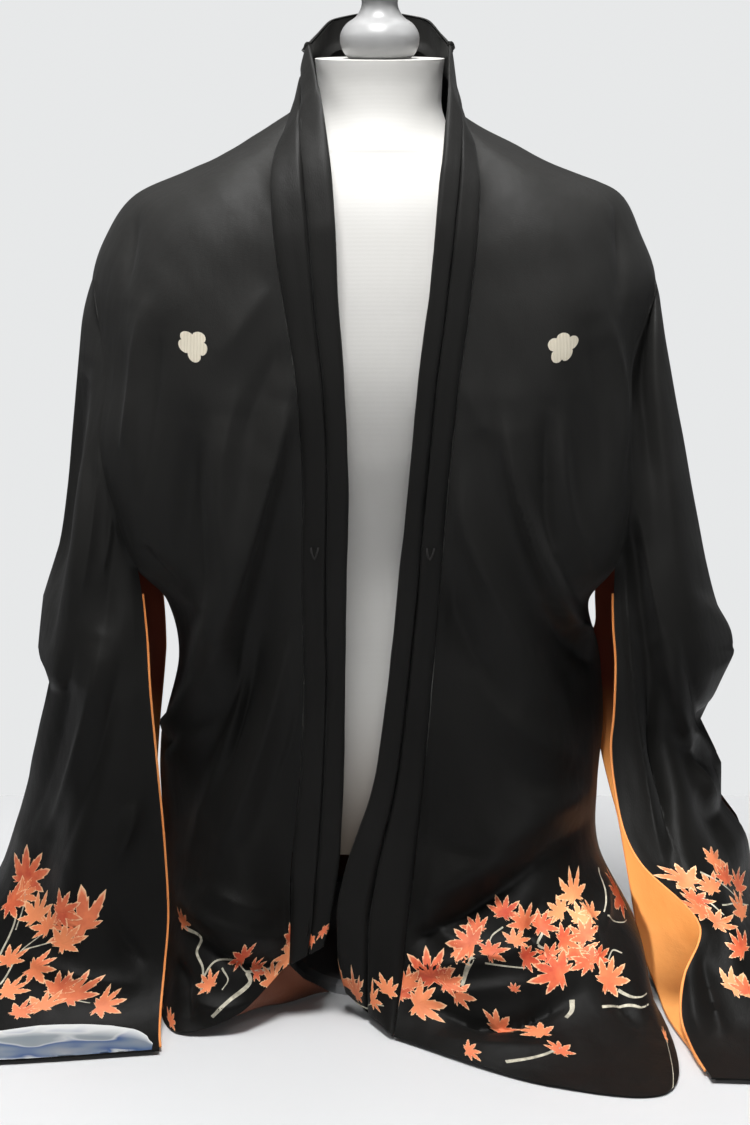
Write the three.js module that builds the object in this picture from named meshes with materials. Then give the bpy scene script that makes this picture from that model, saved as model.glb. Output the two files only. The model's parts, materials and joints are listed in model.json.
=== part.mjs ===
// A long black kimono with hanging sleeves, worn open on a limbless dress form that stands on a low stand.
// Millimetres. +Z is up, the front faces -Y, and "left" is the -X side. The origin is the centre of the
// stand's foot, on the surface that the stand and the hem rest on.
import * as THREE from "three";

// Driving sizes
const CLOTH = 1.6; // silk and its backing
const LINING = 1.0;
const LINING_GAP = 0.5;
const COLLAR_CLOTH = 3.0; // a folded band, four layers
const SEAM = 0.4;
const COLLAR_SEAM = 0.5;
const UNDERARM_GAPS = [1.6, 5, 7.5]; // the armhole seam over its last three rows, under the arm
const LINING_SHOWS = 2; // how far a lining stands out past an open edge
const FOOT_RADIUS = 78;
const FOOT_HEIGHT = 12;
const POLE_RADIUS = 12.5;
const TORSO_BOTTOM = 140;
const NECK_TOP = 820;

// Turns rows of numbers into objects whose keys are the words of the heading
function table(heading, rows) {
  const keys = heading.split(/\s+/);
  return rows.map((row) => Object.fromEntries(keys.map((key, i) => [key, row[i]])));
}

const vec = (x, y, z) => new THREE.Vector3(x, y, z);
const mix = (a, b, t) => a + (b - a) * t;

// Half of the body, x measured outward: one row for each section, from the neckline down.
// Each section runs from the centre back past the two sides of the armhole to the middle of the front.
const BODY_HEADING =
  "zBack zSide zMid zSeam xSideBack xSideFront xMid yBack ySideBack ySideFront yMid steps";
const BODY = {
  left: table(BODY_HEADING, [
    [803, 773, 758, 745, 73, 74, 82, 63, 18, 4, -30, 1],
    [788, 752, 742, 724, 108, 108, 106, 74, 20, -4, -52, 1],
    [762, 729, 720, 700, 154, 153, 132, 86, 24, -10, -76, 2],
    [728, 703, 690, 670, 210, 208, 158, 95, 26, -14, -94, 1],
    [694, 670, 656, 640, 233, 231, 168, 101, 24, -18, -107, 1],
    [655, 634, 624, 606, 245, 244, 172, 105, 14, -22, -117, 2],
    [560, 560, 560, 560, 240, 231, 168, 107, 34, -66, -126, 2],
    [500, 500, 500, 500, 234, 236, 168, 103, 42, -80, -128, 2],
    [448, 448, 448, 448, 220, 225, 160, 97, 38, -88, -127, 2],
    [396, 396, 396, 396, 203, 208, 148, 92, 22, -84, -121, 2],
    [350, 350, 350, 350, 183, 183, 138, 90, 18, -40, -114, 2],
    [300, 300, 300, 300, 175, 174, 130, 94, 20, -32, -110, 2],
    [220, 220, 220, 220, 191, 190, 136, 108, 22, -40, -113, 2],
    [130, 130, 130, 130, 192, 186, 140, 126, 26, -56, -121, 2],
    [50, 54, 78, 100, 192, 184, 142, 150, 34, -96, -136, 2],
    [14, 20, 42, 76, 192, 180, 138, 192, 48, -128, -150, 2],
    [2.2, 2.4, 14, 50, 192, 176, 130, 240, 60, -158, -160, 0],
  ]),
  right: table(BODY_HEADING, [
    [803, 773, 758, 745, 65, 66, 76, 63, 18, 4, -30, 1],
    [788, 750, 742, 724, 98, 98, 100, 74, 20, -4, -52, 1],
    [762, 727, 720, 700, 152, 150, 130, 86, 24, -10, -76, 2],
    [728, 706, 690, 670, 204, 202, 152, 95, 26, -14, -94, 1],
    [694, 670, 656, 640, 223, 221, 160, 101, 24, -18, -107, 1],
    [655, 634, 624, 606, 236, 236, 163, 105, 10, -14, -117, 2],
    [560, 560, 560, 560, 226, 213, 158, 107, 34, -62, -126, 2],
    [500, 500, 500, 500, 221, 212, 156, 103, 42, -78, -128, 2],
    [448, 448, 448, 448, 212, 210, 150, 97, 38, -86, -127, 2],
    [396, 396, 396, 396, 199, 202, 142, 92, 22, -76, -121, 2],
    [350, 350, 350, 350, 180, 181, 134, 90, 18, -38, -114, 2],
    [300, 300, 300, 300, 192, 190, 132, 94, 20, -32, -110, 1],
    [240, 240, 236, 236, 196, 194, 136, 104, 20, -38, -112, 1],
    [180, 180, 172, 180, 190, 189, 138, 116, 20, -48, -117, 1],
    [125, 125, 118, 125, 190, 190, 138, 128, 24, -66, -126, 2],
    [56, 66, 70, 80, 206, 222, 136, 148, 38, -106, -152, 1],
    [18, 26, 32, 46, 210, 226, 134, 186, 54, -156, -176, 1],
    [9, 12, 15, 20, 210, 227, 138, 214, 66, -208, -206, 2],
    [2.2, 2.4, 2.6, 4, 212, 234, 140, 240, 76, -282, -268, 0],
  ]),
};
const ARMHOLE = { firstRow: 5, lastRow: 9 };

// The collar band, hem to centre back, by the height of its seam
const COLLAR_HEADING = "z xSeam ySeam xEdge yEdge zEdge";
const COLLAR = {
  left: table(COLLAR_HEADING, [
    [50, 79, -124, 48, -118, 65],
    [90, 78, -117, 42, -116, 96],
    [141, 77, -115, 34, -117, 143],
    [214, 69, -114, 31, -118, 214],
    [300, 65, -115, 29, -119, 300],
    [396, 66, -118, 28, -121, 396],
    [480, 64, -122, 26, -126, 480],
    [560, 70, -123, 29, -127, 562],
    [620, 79, -118, 34, -121, 626],
    [680, 88, -108, 36, -110, 690],
    [722, 91, -88, 41, -88, 744],
    [745, 87, -60, 49, -56, 790],
    [773, 74, 4, 60, 4, 832],
    [794, 50, 50, 42, 58, 852],
    [803, 0, 63, 0, 74, 860],
  ]),
  right: table(COLLAR_HEADING, [
    [4, 12, -172, -30, -96, 12],
    [22, 16, -156, -34, -112, 34],
    [40, 20, -142, -37, -120, 56],
    [90, 24, -124, -38, -122, 100],
    [141, 31, -117, -28, -121, 146],
    [214, 38, -115, -5, -120, 208],
    [300, 45, -116, 7, -121, 300],
    [396, 52, -119, 16, -123, 396],
    [480, 58, -123, 24, -128, 480],
    [560, 66, -124, 31, -128, 564],
    [620, 74, -118, 40, -122, 632],
    [680, 81, -108, 46, -109, 694],
    [722, 83, -88, 52, -88, 748],
    [745, 79, -60, 57, -56, 793],
    [773, 66, 4, 59, 4, 832],
    [794, 46, 50, 42, 58, 852],
    [803, 0, 63, 0, 74, 860],
  ]),
};
// Across the band: how far from seam to edge, and how far the cloth stands out there
const COLLAR_PROFILE = table("across out", [
  [0, 0],
  [0.2, 3.5],
  [0.44, 2.5],
  [0.54, -1.5],
  [0.72, 3.5],
  [0.9, 3],
  [1, 0.5],
]);

// A sleeve, x measured outward. Along the armhole its inner edges are the body's,
// so those rows give the rest.
const SLEEVE_TOP_HEADING = "xRidge xOuter yRidge yOuter belly backBelly";
const SLEEVE_TOP = {
  left: table(SLEEVE_TOP_HEADING, [
    [251, 254, -13, -4, 0, 2],
    [249, 262, -44, -6, 0, 8],
    [252, 269, -66, -2, 0, 14],
    [256, 275, -88, 0, 0, 18],
    [262, 284, -98, 2, 2, 20],
  ]),
  right: table(SLEEVE_TOP_HEADING, [
    [238, 240, -18, -6, 0, 2],
    [236, 249, -48, -8, -16, 8],
    [242, 261, -62, -4, -14, 14],
    [250, 272, -74, 0, -6, 18],
    [258, 286, -84, 2, 2, 20],
  ]),
};
// Below it: one row for each section, from the underarm down. The belly is how far a layer stands out
// between its edge and the ridge, and the mouth is how far apart the layers are at the outer edge.
const SLEEVE_HEADING =
  "zFront zOuter zBack xFront xRidge xOuter xBack yFront yRidge yOuter yBack belly backBelly mouth steps";
const SLEEVE = {
  left: table(SLEEVE_HEADING, [
    [350, 350, 350, 201, 268, 299, 196, -94, -98, 2, 20, 4, 22, 8, 2],
    [302, 302, 302, 198, 277, 305, 194, -104, -98, 2, 22, 12, 22, 8, 1],
    [286, 286, 286, 197, 276, 290, 195, -106, -92, 2, 22, 16, 24, 26, 2],
    [220, 220, 220, 192, 290, 306, 202, -108, -82, 2, 24, 24, 24, 40, 2],
    [150, 150, 150, 187, 306, 326, 207, -110, -78, 2, 26, 30, 26, 38, 2],
    [90, 84, 84, 185, 328, 352, 210, -114, -78, 0, 26, 34, 30, 26, 2],
    [50, 40, 32, 188, 364, 390, 212, -126, -88, -14, 16, 34, 30, 12, 2],
    [22, 14, 6, 190, 414, 448, 214, -150, -112, -60, -30, 34, 20, 10, 2],
    [9, 6, 1.8, 189, 452, 490, 208, -178, -160, -140, -110, 24, 12, 10, 2],
    [5.4, 3.6, 1.8, 186, 468, 508, 190, -203, -226, -228, -200, 10, 10, 4, 0],
  ]),
  right: table(SLEEVE_HEADING, [
    [350, 350, 350, 201, 270, 298, 196, -92, -88, 2, 26, 4, 20, 8, 1],
    [318, 318, 318, 203, 282, 310, 197, -100, -88, 2, 30, 10, 18, 8, 1],
    [303, 303, 303, 203, 286, 316, 192, -104, -84, 2, 33, 12, 18, 24, 1],
    [270, 270, 270, 202, 280, 300, 193, -107, -80, 2, 34, 14, 18, 36, 1],
    [241, 241, 241, 200, 272, 287, 198, -108, -78, 2, 32, 16, 20, 38, 1],
    [200, 200, 200, 205, 288, 307, 204, -109, -78, 2, 28, 20, 24, 34, 1],
    [166, 166, 166, 213, 292, 308, 212, -112, -78, 0, 24, 24, 28, 30, 1],
    [140, 142, 140, 227, 308, 326, 219, -116, -78, -2, 18, 26, 32, 24, 1],
    [84, 86, 80, 279, 326, 342, 230, -122, -84, -6, 8, 28, 36, 14, 2],
    [44, 42, 32, 266, 362, 388, 238, -132, -96, -20, -22, 30, 28, 12, 2],
    [20, 15, 6, 260, 412, 448, 249, -160, -122, -66, -76, 28, 20, 12, 2],
    [9, 7, 1.8, 264, 470, 518, 254, -204, -180, -150, -136, 20, 8, 10, 2],
    [5.4, 3.6, 1.8, 273, 540, 596, 277, -260, -266, -262, -258, 6, 4, 4, 0],
  ]),
};
const MOUTH_OPEN = 20; // a sleeve row is open at the wrist where its two edges are this far apart

// Large folds, in the front view: a path that bows sideways, its half width, and its height above the cloth
const FOLD_HEADING = "x0 z0 x1 z1 bow width height";
const BODY_FOLDS = {
  left: table(FOLD_HEADING, [
    [-76, 556, -194, 190, 4, 15, 10],
    [-82, 500, -160, 170, 12, 24, -9],
    [-122, 540, -142, 350, -4, 18, 6],
    [-160, 530, -172, 366, 2, 14, -7],
    [-202, 622, -206, 470, 2, 10, 4],
    [-114, 200, -104, 60, -6, 22, 6],
  ]),
  right: table(FOLD_HEADING, [
    [104, 545, 184, 318, -8, 15, 10],
    [86, 530, 166, 280, -10, 22, -8],
    [68, 550, 164, 225, -10, 24, 6],
    [180, 590, 196, 425, 4, 12, 5],
    [158, 560, 172, 420, 2, 14, -6],
    [58, 300, 118, 120, -10, 26, 5],
  ]),
};
const SLEEVE_FOLDS = {
  left: table(FOLD_HEADING, [
    [-252, 560, -288, 330, -3, 8, -7],
    [-214, 380, -266, 60, -12, 18, 7],
    [-238, 300, -316, 70, -8, 18, -7],
  ]),
  right: table(FOLD_HEADING, [
    [208, 500, 254, 126, 0, 9, -8],
    [232, 340, 320, 114, -4, 11, -9],
    [228, 420, 276, 200, 2, 12, 5],
    [318, 230, 360, 60, 0, 14, 7],
  ]),
};
const BACK_FOLDS = {
  left: table(FOLD_HEADING, [
    [-60, 620, -40, 200, 8, 26, 6],
    [-140, 600, -120, 180, -8, 24, -7],
    [-92, 420, -104, 60, 4, 26, 8],
    [-30, 260, -24, 50, 2, 20, -6],
  ]),
  right: table(FOLD_HEADING, [
    [66, 600, 48, 220, -8, 26, 6],
    [150, 610, 122, 200, 8, 24, -7],
    [96, 400, 112, 50, -4, 26, 8],
    [34, 240, 26, 60, -2, 20, -6],
  ]),
};
const FOLD_SAMPLES = 14;

// Height of the folds at a place in the front view
function foldHeight(folds, x, z) {
  let height = 0;
  for (const fold of folds) {
    let near = Infinity;
    let along = 0;
    for (let i = 0; i <= FOLD_SAMPLES; i++) {
      const t = i / FOLD_SAMPLES;
      const px = mix(fold.x0, fold.x1, t) + fold.bow * 4 * t * (1 - t);
      const pz = mix(fold.z0, fold.z1, t);
      const distance = Math.hypot(px - x, pz - z);
      if (distance < near) {
        near = distance;
        along = t;
      }
    }
    const fade = Math.pow(Math.sin(Math.PI * Math.min(0.97, Math.max(0.03, along))), 0.6);
    height += fold.height * fade * Math.exp(-((near / fold.width) ** 2));
  }
  return height;
}

const curve = (points) => new THREE.CatmullRomCurve3(points, false, "centripetal");

// A smooth grid of points through rows of control points, cut into the given numbers of steps
function smoothGrid(controls, rowSteps, columnCells) {
  const rails = controls[0].map((_, j) => curve(controls.map((row) => row[j])));
  const intervals = controls.length - 1;
  const grid = [];
  const rowStarts = [];
  for (let i = 0; i <= intervals; i++) {
    rowStarts.push(grid.length);
    const steps = i < intervals ? rowSteps[i] : 1;
    for (let s = 0; s < steps; s++) {
      const section = curve(rails.map((rail) => rail.getPoint((i + s / steps) / intervals)));
      const points = [];
      columnCells.forEach((cells, j) => {
        for (let c = 0; c < cells; c++) {
          points.push(section.getPoint((j + c / cells) / columnCells.length));
        }
      });
      points.push(section.getPoint(1));
      grid.push(points);
    }
  }
  return { grid, rowStarts };
}

// A sheet of cloth: a grid of points on its outer face, with unit normals out of the cells that are kept.
// "turned" says that its columns run from right to left as seen from outside.
function sheetOf(grid, turned, isOpen = () => false) {
  const normals = grid.map((row) => row.map(() => vec(0, 0, 0)));
  for (let r = 0; r + 1 < grid.length; r++) {
    for (let c = 0; c + 1 < grid[0].length; c++) {
      if (isOpen(r, c)) continue;
      const across = grid[r + 1][c + 1].clone().sub(grid[r][c]);
      const back = grid[r + 1][c].clone().sub(grid[r][c + 1]);
      const normal = across.cross(back).multiplyScalar(turned ? -1 : 1);
      for (const [i, j] of [[r, c], [r, c + 1], [r + 1, c], [r + 1, c + 1]]) {
        normals[i][j].add(normal);
      }
    }
  }
  normals.forEach((row) => row.forEach((normal) => normal.normalize()));
  // A cell is split along the diagonal whose two ends face the same way, which keeps a slanting fold smooth
  const isCrossed = (r, c) =>
    normals[r][c + 1].dot(normals[r + 1][c]) > normals[r][c].dot(normals[r + 1][c + 1]) + 1e-4;
  return { grid, normals, turned, isOpen, isCrossed };
}

// A sheet given its thickness: the inner face lies that far behind the outer one
function wall({ grid, normals, turned, isOpen, isCrossed }, thickness) {
  const rows = grid.length;
  const columns = grid[0].length;
  const positions = [];
  for (const depth of [0, thickness]) {
    grid.forEach((row, r) =>
      row.forEach((point, c) => {
        positions.push(...point.clone().addScaledVector(normals[r][c], -depth).toArray());
      }),
    );
  }
  const inner = rows * columns;
  const triangles = [];
  const triangle = (a, b, c) => triangles.push(...(turned ? [a, c, b] : [a, b, c]));
  const isCloth = (r, c) => r >= 0 && c >= 0 && r < rows - 1 && c < columns - 1 && !isOpen(r, c);
  for (let r = 0; r < rows - 1; r++) {
    for (let c = 0; c < columns - 1; c++) {
      if (!isCloth(r, c)) continue;
      const a = r * columns + c;
      const [b, e, d] = [a + 1, a + columns + 1, a + columns];
      const halves = isCrossed(r, c) ? [[a, b, d], [b, e, d]] : [[a, b, e], [a, e, d]];
      for (const [p, q, s] of halves) {
        triangle(p, q, s);
        triangle(inner + p, inner + s, inner + q);
      }
      const rims = [[a, b, r - 1, c], [b, e, r, c + 1], [e, d, r + 1, c], [d, a, r, c - 1]];
      for (const [p, q, nextRow, nextColumn] of rims) {
        if (isCloth(nextRow, nextColumn)) continue;
        triangle(q, p, inner + p);
        triangle(q, inner + p, inner + q);
      }
    }
  }
  const geometry = new THREE.BufferGeometry();
  geometry.setAttribute("position", new THREE.Float32BufferAttribute(positions, 3));
  geometry.setIndex(triangles);
  return geometry;
}

// A point a seam's width from an edge, level with the cloth there, on the way to another point
function acrossSeam(point, normal, towards, gap = SEAM) {
  const way = towards.clone().sub(point);
  return way.addScaledVector(normal, -way.dot(normal)).setLength(gap).add(point);
}

// The collar table at a height of the seam
function collarAt(side, z) {
  const rows = COLLAR[side];
  let i = 0;
  while (i < rows.length - 2 && z > rows[i + 1].z) i++;
  const t = Math.min(1, Math.max(0, (z - rows[i].z) / (rows[i + 1].z - rows[i].z)));
  return Object.fromEntries(Object.keys(rows[0]).map((key) => [key, mix(rows[i][key], rows[i + 1][key], t)]));
}

const SIGN = { left: -1, right: 1 };
const BODY_CELLS = [3, 3, 2, 4, 4];
const SIDE_BACK = BODY_CELLS[0] + BODY_CELLS[1];
const SIDE_FRONT = SIDE_BACK + BODY_CELLS[2];

// One length of body cloth, from the centre back round to the collar seam
function bodyPanel(side) {
  const sign = SIGN[side];
  const rows = BODY[side];
  const controls = rows.map((row) => {
    const seam = collarAt(side, row.zSeam);
    return [
      vec(sign * SEAM * 0.5, row.yBack, row.zBack),
      vec(sign * row.xSideBack * 0.62, mix(row.yBack, row.ySideBack, 0.14), mix(row.zBack, row.zSide, 0.3)),
      vec(sign * row.xSideBack, row.ySideBack, row.zSide),
      vec(sign * row.xSideFront, row.ySideFront, row.zSide),
      vec(sign * row.xMid, row.yMid, row.zMid),
      vec(sign * seam.xSeam, seam.ySeam, row.zSeam),
    ];
  });
  const { grid, rowStarts } = smoothGrid(controls, rows.map((row) => row.steps), BODY_CELLS);
  const top = rowStarts[ARMHOLE.firstRow];
  const bottom = rowStarts[ARMHOLE.lastRow];
  const isOpen = (r, c) => r >= top && r < bottom && c >= SIDE_BACK && c < SIDE_FRONT;
  const turned = side === "left";
  const flat = sheetOf(grid, turned, isOpen).normals;
  grid.forEach((row, r) =>
    row.forEach((point, c) => {
      const front = Math.min(1, Math.max(0, (c - SIDE_FRONT + 1) / 2));
      const back = c < SIDE_BACK ? Math.min(1, c / 2) : 0;
      const lift =
        front * foldHeight(BODY_FOLDS[side], point.x, point.z) +
        back * foldHeight(BACK_FOLDS[side], point.x, point.z);
      point.addScaledVector(flat[r][c], lift);
    }),
  );
  const sheet = sheetOf(grid, turned, isOpen);
  sheet.normals.forEach((row) => row[0].setX(0).normalize());
  return { ...sheet, top, bottom, rowStarts };
}

// The points and normals of a panel's neckline, front hem to centre back
function necklineOf(panel) {
  const last = panel.grid[0].length - 1;
  const places = panel.grid.map((_, r) => [panel.grid.length - 1 - r, last]);
  for (let c = last - 1; c >= 0; c--) places.push([0, c]);
  return places.map(([r, c]) => ({ point: panel.grid[r][c], normal: panel.normals[r][c] }));
}

function collarRow(side, { point, normal }) {
  const place = collarAt(side, point.z);
  const edge = vec(SIGN[side] * place.xEdge, place.yEdge, place.zEdge);
  const seam = acrossSeam(point, normal, edge, COLLAR_SEAM);
  const points = COLLAR_PROFILE.map(({ across, out }) =>
    seam.clone().lerp(edge, across).addScaledVector(normal, out),
  );
  return { points, normal };
}

function collarBand(left, right) {
  const leftRows = necklineOf(left).map((place) => collarRow("left", place));
  const rightRows = necklineOf(right).map((place) => collarRow("right", place));
  const middle = leftRows.pop();
  rightRows.pop();
  middle.points.forEach((point) => point.setX(0));
  const rows = [...leftRows, middle, ...rightRows.reverse()];
  const sheet = sheetOf(rows.map((row) => row.points), false);
  rows.forEach((row, r) => sheet.normals[r][0].copy(row.normal));
  return wall(sheet, COLLAR_CLOTH);
}

const SLEEVE_CELLS = [3, 3, 2, 1, 2, 3];
const RIDGE_COLUMN = SLEEVE_CELLS[0] + SLEEVE_CELLS[1];
const MOUTH_COLUMN = RIDGE_COLUMN + SLEEVE_CELLS[2];

// The section of a sleeve, from its front inner edge round the outer edge to its back inner edge
function sleeveSection(row, sign) {
  const { xFront, xRidge, xOuter, xBack, yFront, yRidge, yOuter, yBack, zFront, zOuter, zBack } = row;
  const at = (x, y, z) => vec(sign * x, y, z);
  return [
    at(xFront, yFront, zFront),
    at(mix(xFront, xRidge, 0.5), mix(yFront, yRidge, 0.5) - row.belly, mix(zFront, zOuter, 0.3)),
    at(xRidge, yRidge, mix(zFront, zOuter, 0.8)),
    at(xOuter, yOuter - row.mouth / 2, zOuter),
    at(xOuter, yOuter + row.mouth / 2, zOuter),
    at(mix(xBack, xOuter, 0.5), mix(yBack, yOuter, 0.5) + row.backBelly, zBack),
    at(xBack, yBack, zBack),
  ];
}

function sleevePanel(side, body) {
  const sign = SIGN[side];
  const upper = BODY[side].slice(ARMHOLE.firstRow, ARMHOLE.lastRow + 1).map((row, i) => ({
    ...SLEEVE_TOP[side][i],
    zFront: row.zSide, zOuter: row.zSide, zBack: row.zSide,
    xFront: row.xSideFront + 1, xBack: row.xSideBack + 1,
    yFront: row.ySideFront, yBack: row.ySideBack,
    mouth: 6, steps: row.steps,
  }));
  const rows = [...upper, ...SLEEVE[side]];
  const controls = rows.map((row) => sleeveSection(row, sign));
  const { grid, rowStarts } = smoothGrid(controls, rows.map((row) => row.steps), SLEEVE_CELLS);
  const mouthOf = (r) => Math.abs(grid[r][MOUTH_COLUMN].y - grid[r][MOUTH_COLUMN + 1].y);
  const isOpen = (r, c) => c === MOUTH_COLUMN && mouthOf(r) > MOUTH_OPEN && mouthOf(r + 1) > MOUTH_OPEN;
  const turned = side === "right";
  const flat = sheetOf(grid, turned, isOpen).normals;
  const last = grid[0].length - 1;
  grid.forEach((row, r) =>
    row.forEach((point, c) => {
      const front = c > 0 && c < MOUTH_COLUMN ? 1 : 0;
      point.addScaledVector(flat[r][c], front * foldHeight(SLEEVE_FOLDS[side], point.x, point.z));
    }),
  );
  const armholeSteps = body.bottom - body.top;
  const seams = [[0, 1, SIDE_FRONT], [last, last - 1, SIDE_BACK]];
  for (let r = 0; r <= armholeSteps; r++) {
    const gap = UNDERARM_GAPS[r - armholeSteps + 2] ?? SEAM;
    for (const [column, next, bodyColumn] of seams) {
      const edge = body.grid[body.top + r][bodyColumn];
      const normal = body.normals[body.top + r][bodyColumn];
      grid[r][column].copy(acrossSeam(edge, normal, grid[r][next], gap));
    }
  }
  grid[0].forEach((point) => point.setZ(point.z - SEAM));
  const sheet = sheetOf(grid, turned, isOpen);
  for (let r = 0; r <= armholeSteps; r++) {
    for (const [column, next, bodyColumn] of seams) {
      const normal = sheet.normals[r][column].copy(body.normals[body.top + r][bodyColumn]);
      sheet.normals[r][next].add(normal).normalize();
    }
  }
  return { ...sheet, rowStarts, armholeSteps };
}

// A lining behind some rows and columns of a panel. It stands out past the panel at the given columns.
function lining(panel, rows, columns, showing = [], isCut = () => false) {
  const depth = CLOTH + LINING_GAP;
  const grid = rows.map((r) =>
    columns.map((c) => panel.grid[r][c].clone().addScaledVector(panel.normals[r][c], -depth)),
  );
  for (const row of grid) {
    for (const [edge, next] of showing) {
      row[edge].add(row[edge].clone().sub(row[next]).setLength(LINING_SHOWS));
    }
  }
  const sheet = sheetOf(grid, panel.turned, (r, c) => panel.isOpen(rows[r], columns[c]) || isCut(r, c));
  const isCrossed = (r, c) => panel.isCrossed(rows[r], columns[c]);
  return { ...sheet, isCrossed };
}

const range = (from, to) => Array.from({ length: to - from + 1 }, (_, i) => from + i);
const HEM_LINING_TOP = 12; // the body row where the hem's lining starts
const HEM_LINING_END = 3; // counted up from the hem
const SLEEVE_LINING_END = 3; // counted up from the sleeve's bottom
const THIN_ROWS = 3; // above that, where the sleeve's outer side is too flat for a lining

function sleeveLinings(panel) {
  const rows = range(panel.armholeSteps + 1, panel.grid.length - 1 - SLEEVE_LINING_END);
  const last = panel.grid[0].length - 1;
  const front = range(0, MOUTH_COLUMN - 1);
  const back = range(MOUTH_COLUMN + 2, last);
  const isThin = (r, c) => r >= rows.length - 1 - THIN_ROWS && c >= RIDGE_COLUMN - 1;
  return {
    front: wall(lining(panel, rows, front, [[0, 1]], isThin), LINING),
    back: wall(lining(panel, rows, back, [[back.length - 1, back.length - 2]]), LINING),
  };
}

// The lining behind the lower back and side of one half of the body
function hemLining(panel) {
  const rows = range(panel.rowStarts[HEM_LINING_TOP], panel.grid.length - 1 - HEM_LINING_END);
  const sheet = lining(panel, rows, range(0, SIDE_FRONT));
  sheet.normals.forEach((row) => row[0].setX(0).normalize());
  return wall(sheet, LINING);
}

// The lining behind the left front's lower part, which sags below the lifted hem to the floor
const FRONT_LINING_TOP = 13; // the body row where it starts
const SAG_END = 2; // height of the sagging edge over the floor
const SAG = table("fall shift back wave", [[0.4, 12, 14, 0], [0.75, 26, 34, 2], [1, 34, 50, 3]]);

function frontLining(panel) {
  const rows = range(panel.rowStarts[FRONT_LINING_TOP], panel.grid.length - 1);
  const columns = range(SIDE_FRONT + BODY_CELLS[3], panel.grid[0].length - 1);
  const { grid, turned } = lining(panel, rows, columns);
  const hem = grid[grid.length - 1];
  for (const { fall, shift, back, wave } of SAG) {
    grid.push(
      hem.map((point, c) =>
        vec(
          point.x + (shift * c) / (hem.length - 1),
          point.y + back + wave * Math.sin(c * 2.1),
          mix(point.z, SAG_END, fall),
        ),
      ),
    );
  }
  return wall(sheetOf(grid, turned), LINING);
}

// The dress form: sections of a smooth torso, each a flattened ring
const FORM_HEADING = "z halfWidth yFront yBack power";
const FORM = table(FORM_HEADING, [
  [NECK_TOP, 55.4, -40, 58, 2],
  [798, 53.4, -40, 56.1, 2],
  [775, 54, -44, 55, 2],
  [757, 64, -52, 60, 2],
  [742, 94, -60, 68, 2],
  [721, 150, -72, 80, 2],
  [700, 188, -82, 87, 2.1],
  [664, 206, -94, 92, 2.2],
  [620, 204, -106, 96, 2.3],
  [560, 186, -116, 98, 2.3],
  [500, 166, -112, 93, 2.3],
  [440, 146, -100, 84, 2.3],
  [390, 138, -92, 78, 2.3],
  [330, 144, -94, 80, 2.3],
  [260, 156, -98, 84, 2.3],
  [200, 160, -98, 86, 2.3],
  [TORSO_BOTTOM, 156, -94, 82, 2.3],
]);
const FORM_SIDES = 28;

// A closed solid through rings of points, with flat ends
function ringSolid(rings) {
  const sides = rings[0].length;
  const positions = rings.flat().flatMap((point) => point.toArray());
  const triangles = [];
  for (let r = 0; r + 1 < rings.length; r++) {
    for (let s = 0; s < sides; s++) {
      const a = r * sides + s;
      const b = r * sides + ((s + 1) % sides);
      triangles.push(a, a + sides, b + sides, a, b + sides, b);
    }
  }
  const centreOf = (ring) => ring.reduce((sum, point) => sum.add(point), vec(0, 0, 0)).divideScalar(sides);
  const last = (rings.length - 1) * sides;
  const top = positions.length / 3;
  positions.push(...centreOf(rings[0]).toArray(), ...centreOf(rings[rings.length - 1]).toArray());
  for (let s = 0; s < sides; s++) {
    const next = (s + 1) % sides;
    triangles.push(top, s, next);
    triangles.push(top + 1, last + next, last + s);
  }
  const geometry = new THREE.BufferGeometry();
  geometry.setAttribute("position", new THREE.Float32BufferAttribute(positions, 3));
  geometry.setIndex(triangles);
  return geometry;
}

function formTorso() {
  const rails = range(0, FORM_SIDES - 1).map((s) => {
    const angle = (2 * Math.PI * s) / FORM_SIDES;
    const round = (value, power) => Math.sign(value) * Math.abs(value) ** (2 / power);
    return curve(
      FORM.map(({ z, halfWidth, yFront, yBack, power }) => {
        const across = halfWidth * round(Math.cos(angle), power);
        return vec(across, mix(yFront, yBack, 0.5 + 0.5 * round(Math.sin(angle), power)), z);
      }),
    );
  });
  const rows = FORM.length - 1;
  return ringSolid(range(0, rows).map((r) => rails.map((rail) => rail.getPoint(r / rows))));
}

const KNOB_PROFILE = table("radius z", [
  [0, 0], [26, 0], [31, 5], [33.5, 12], [33.5, 20], [29, 28], [20, 35], [16, 42], [15.5, 48],
  [20, 56], [22, 63], [19, 70], [12, 75], [0, 77],
]);
const ROUND_SIDES = 24;

function turned(profile) {
  const outline = profile.map(({ radius, z }) => new THREE.Vector2(radius, z));
  return new THREE.LatheGeometry(outline, ROUND_SIDES).rotateX(Math.PI / 2);
}

const FOOT_PROFILE = table("radius z", [
  [0, 0], [FOOT_RADIUS, 0], [FOOT_RADIUS, FOOT_HEIGHT - 4], [FOOT_RADIUS - 5, FOOT_HEIGHT], [0, FOOT_HEIGHT],
]);
const POLE_PROFILE = table("radius z", [
  [0, FOOT_HEIGHT + SEAM], [POLE_RADIUS + 8, FOOT_HEIGHT + SEAM], [POLE_RADIUS + 8, FOOT_HEIGHT + 10],
  [POLE_RADIUS, FOOT_HEIGHT + 16], [POLE_RADIUS, TORSO_BOTTOM - SEAM], [0, TORSO_BOTTOM - SEAM],
]);

// Thread loops on the outer strip of the collar, where a tie would hook in
const LOOP = { z: 431, thick: 1.6, away: 0.3 };
const LOOP_PATH = table("across out down", [[0, 0, 0], [0.6, 3, 3.5], [3, 5, 8.5], [5.4, 3, 3.5], [6, 0, 0]]);

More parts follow.
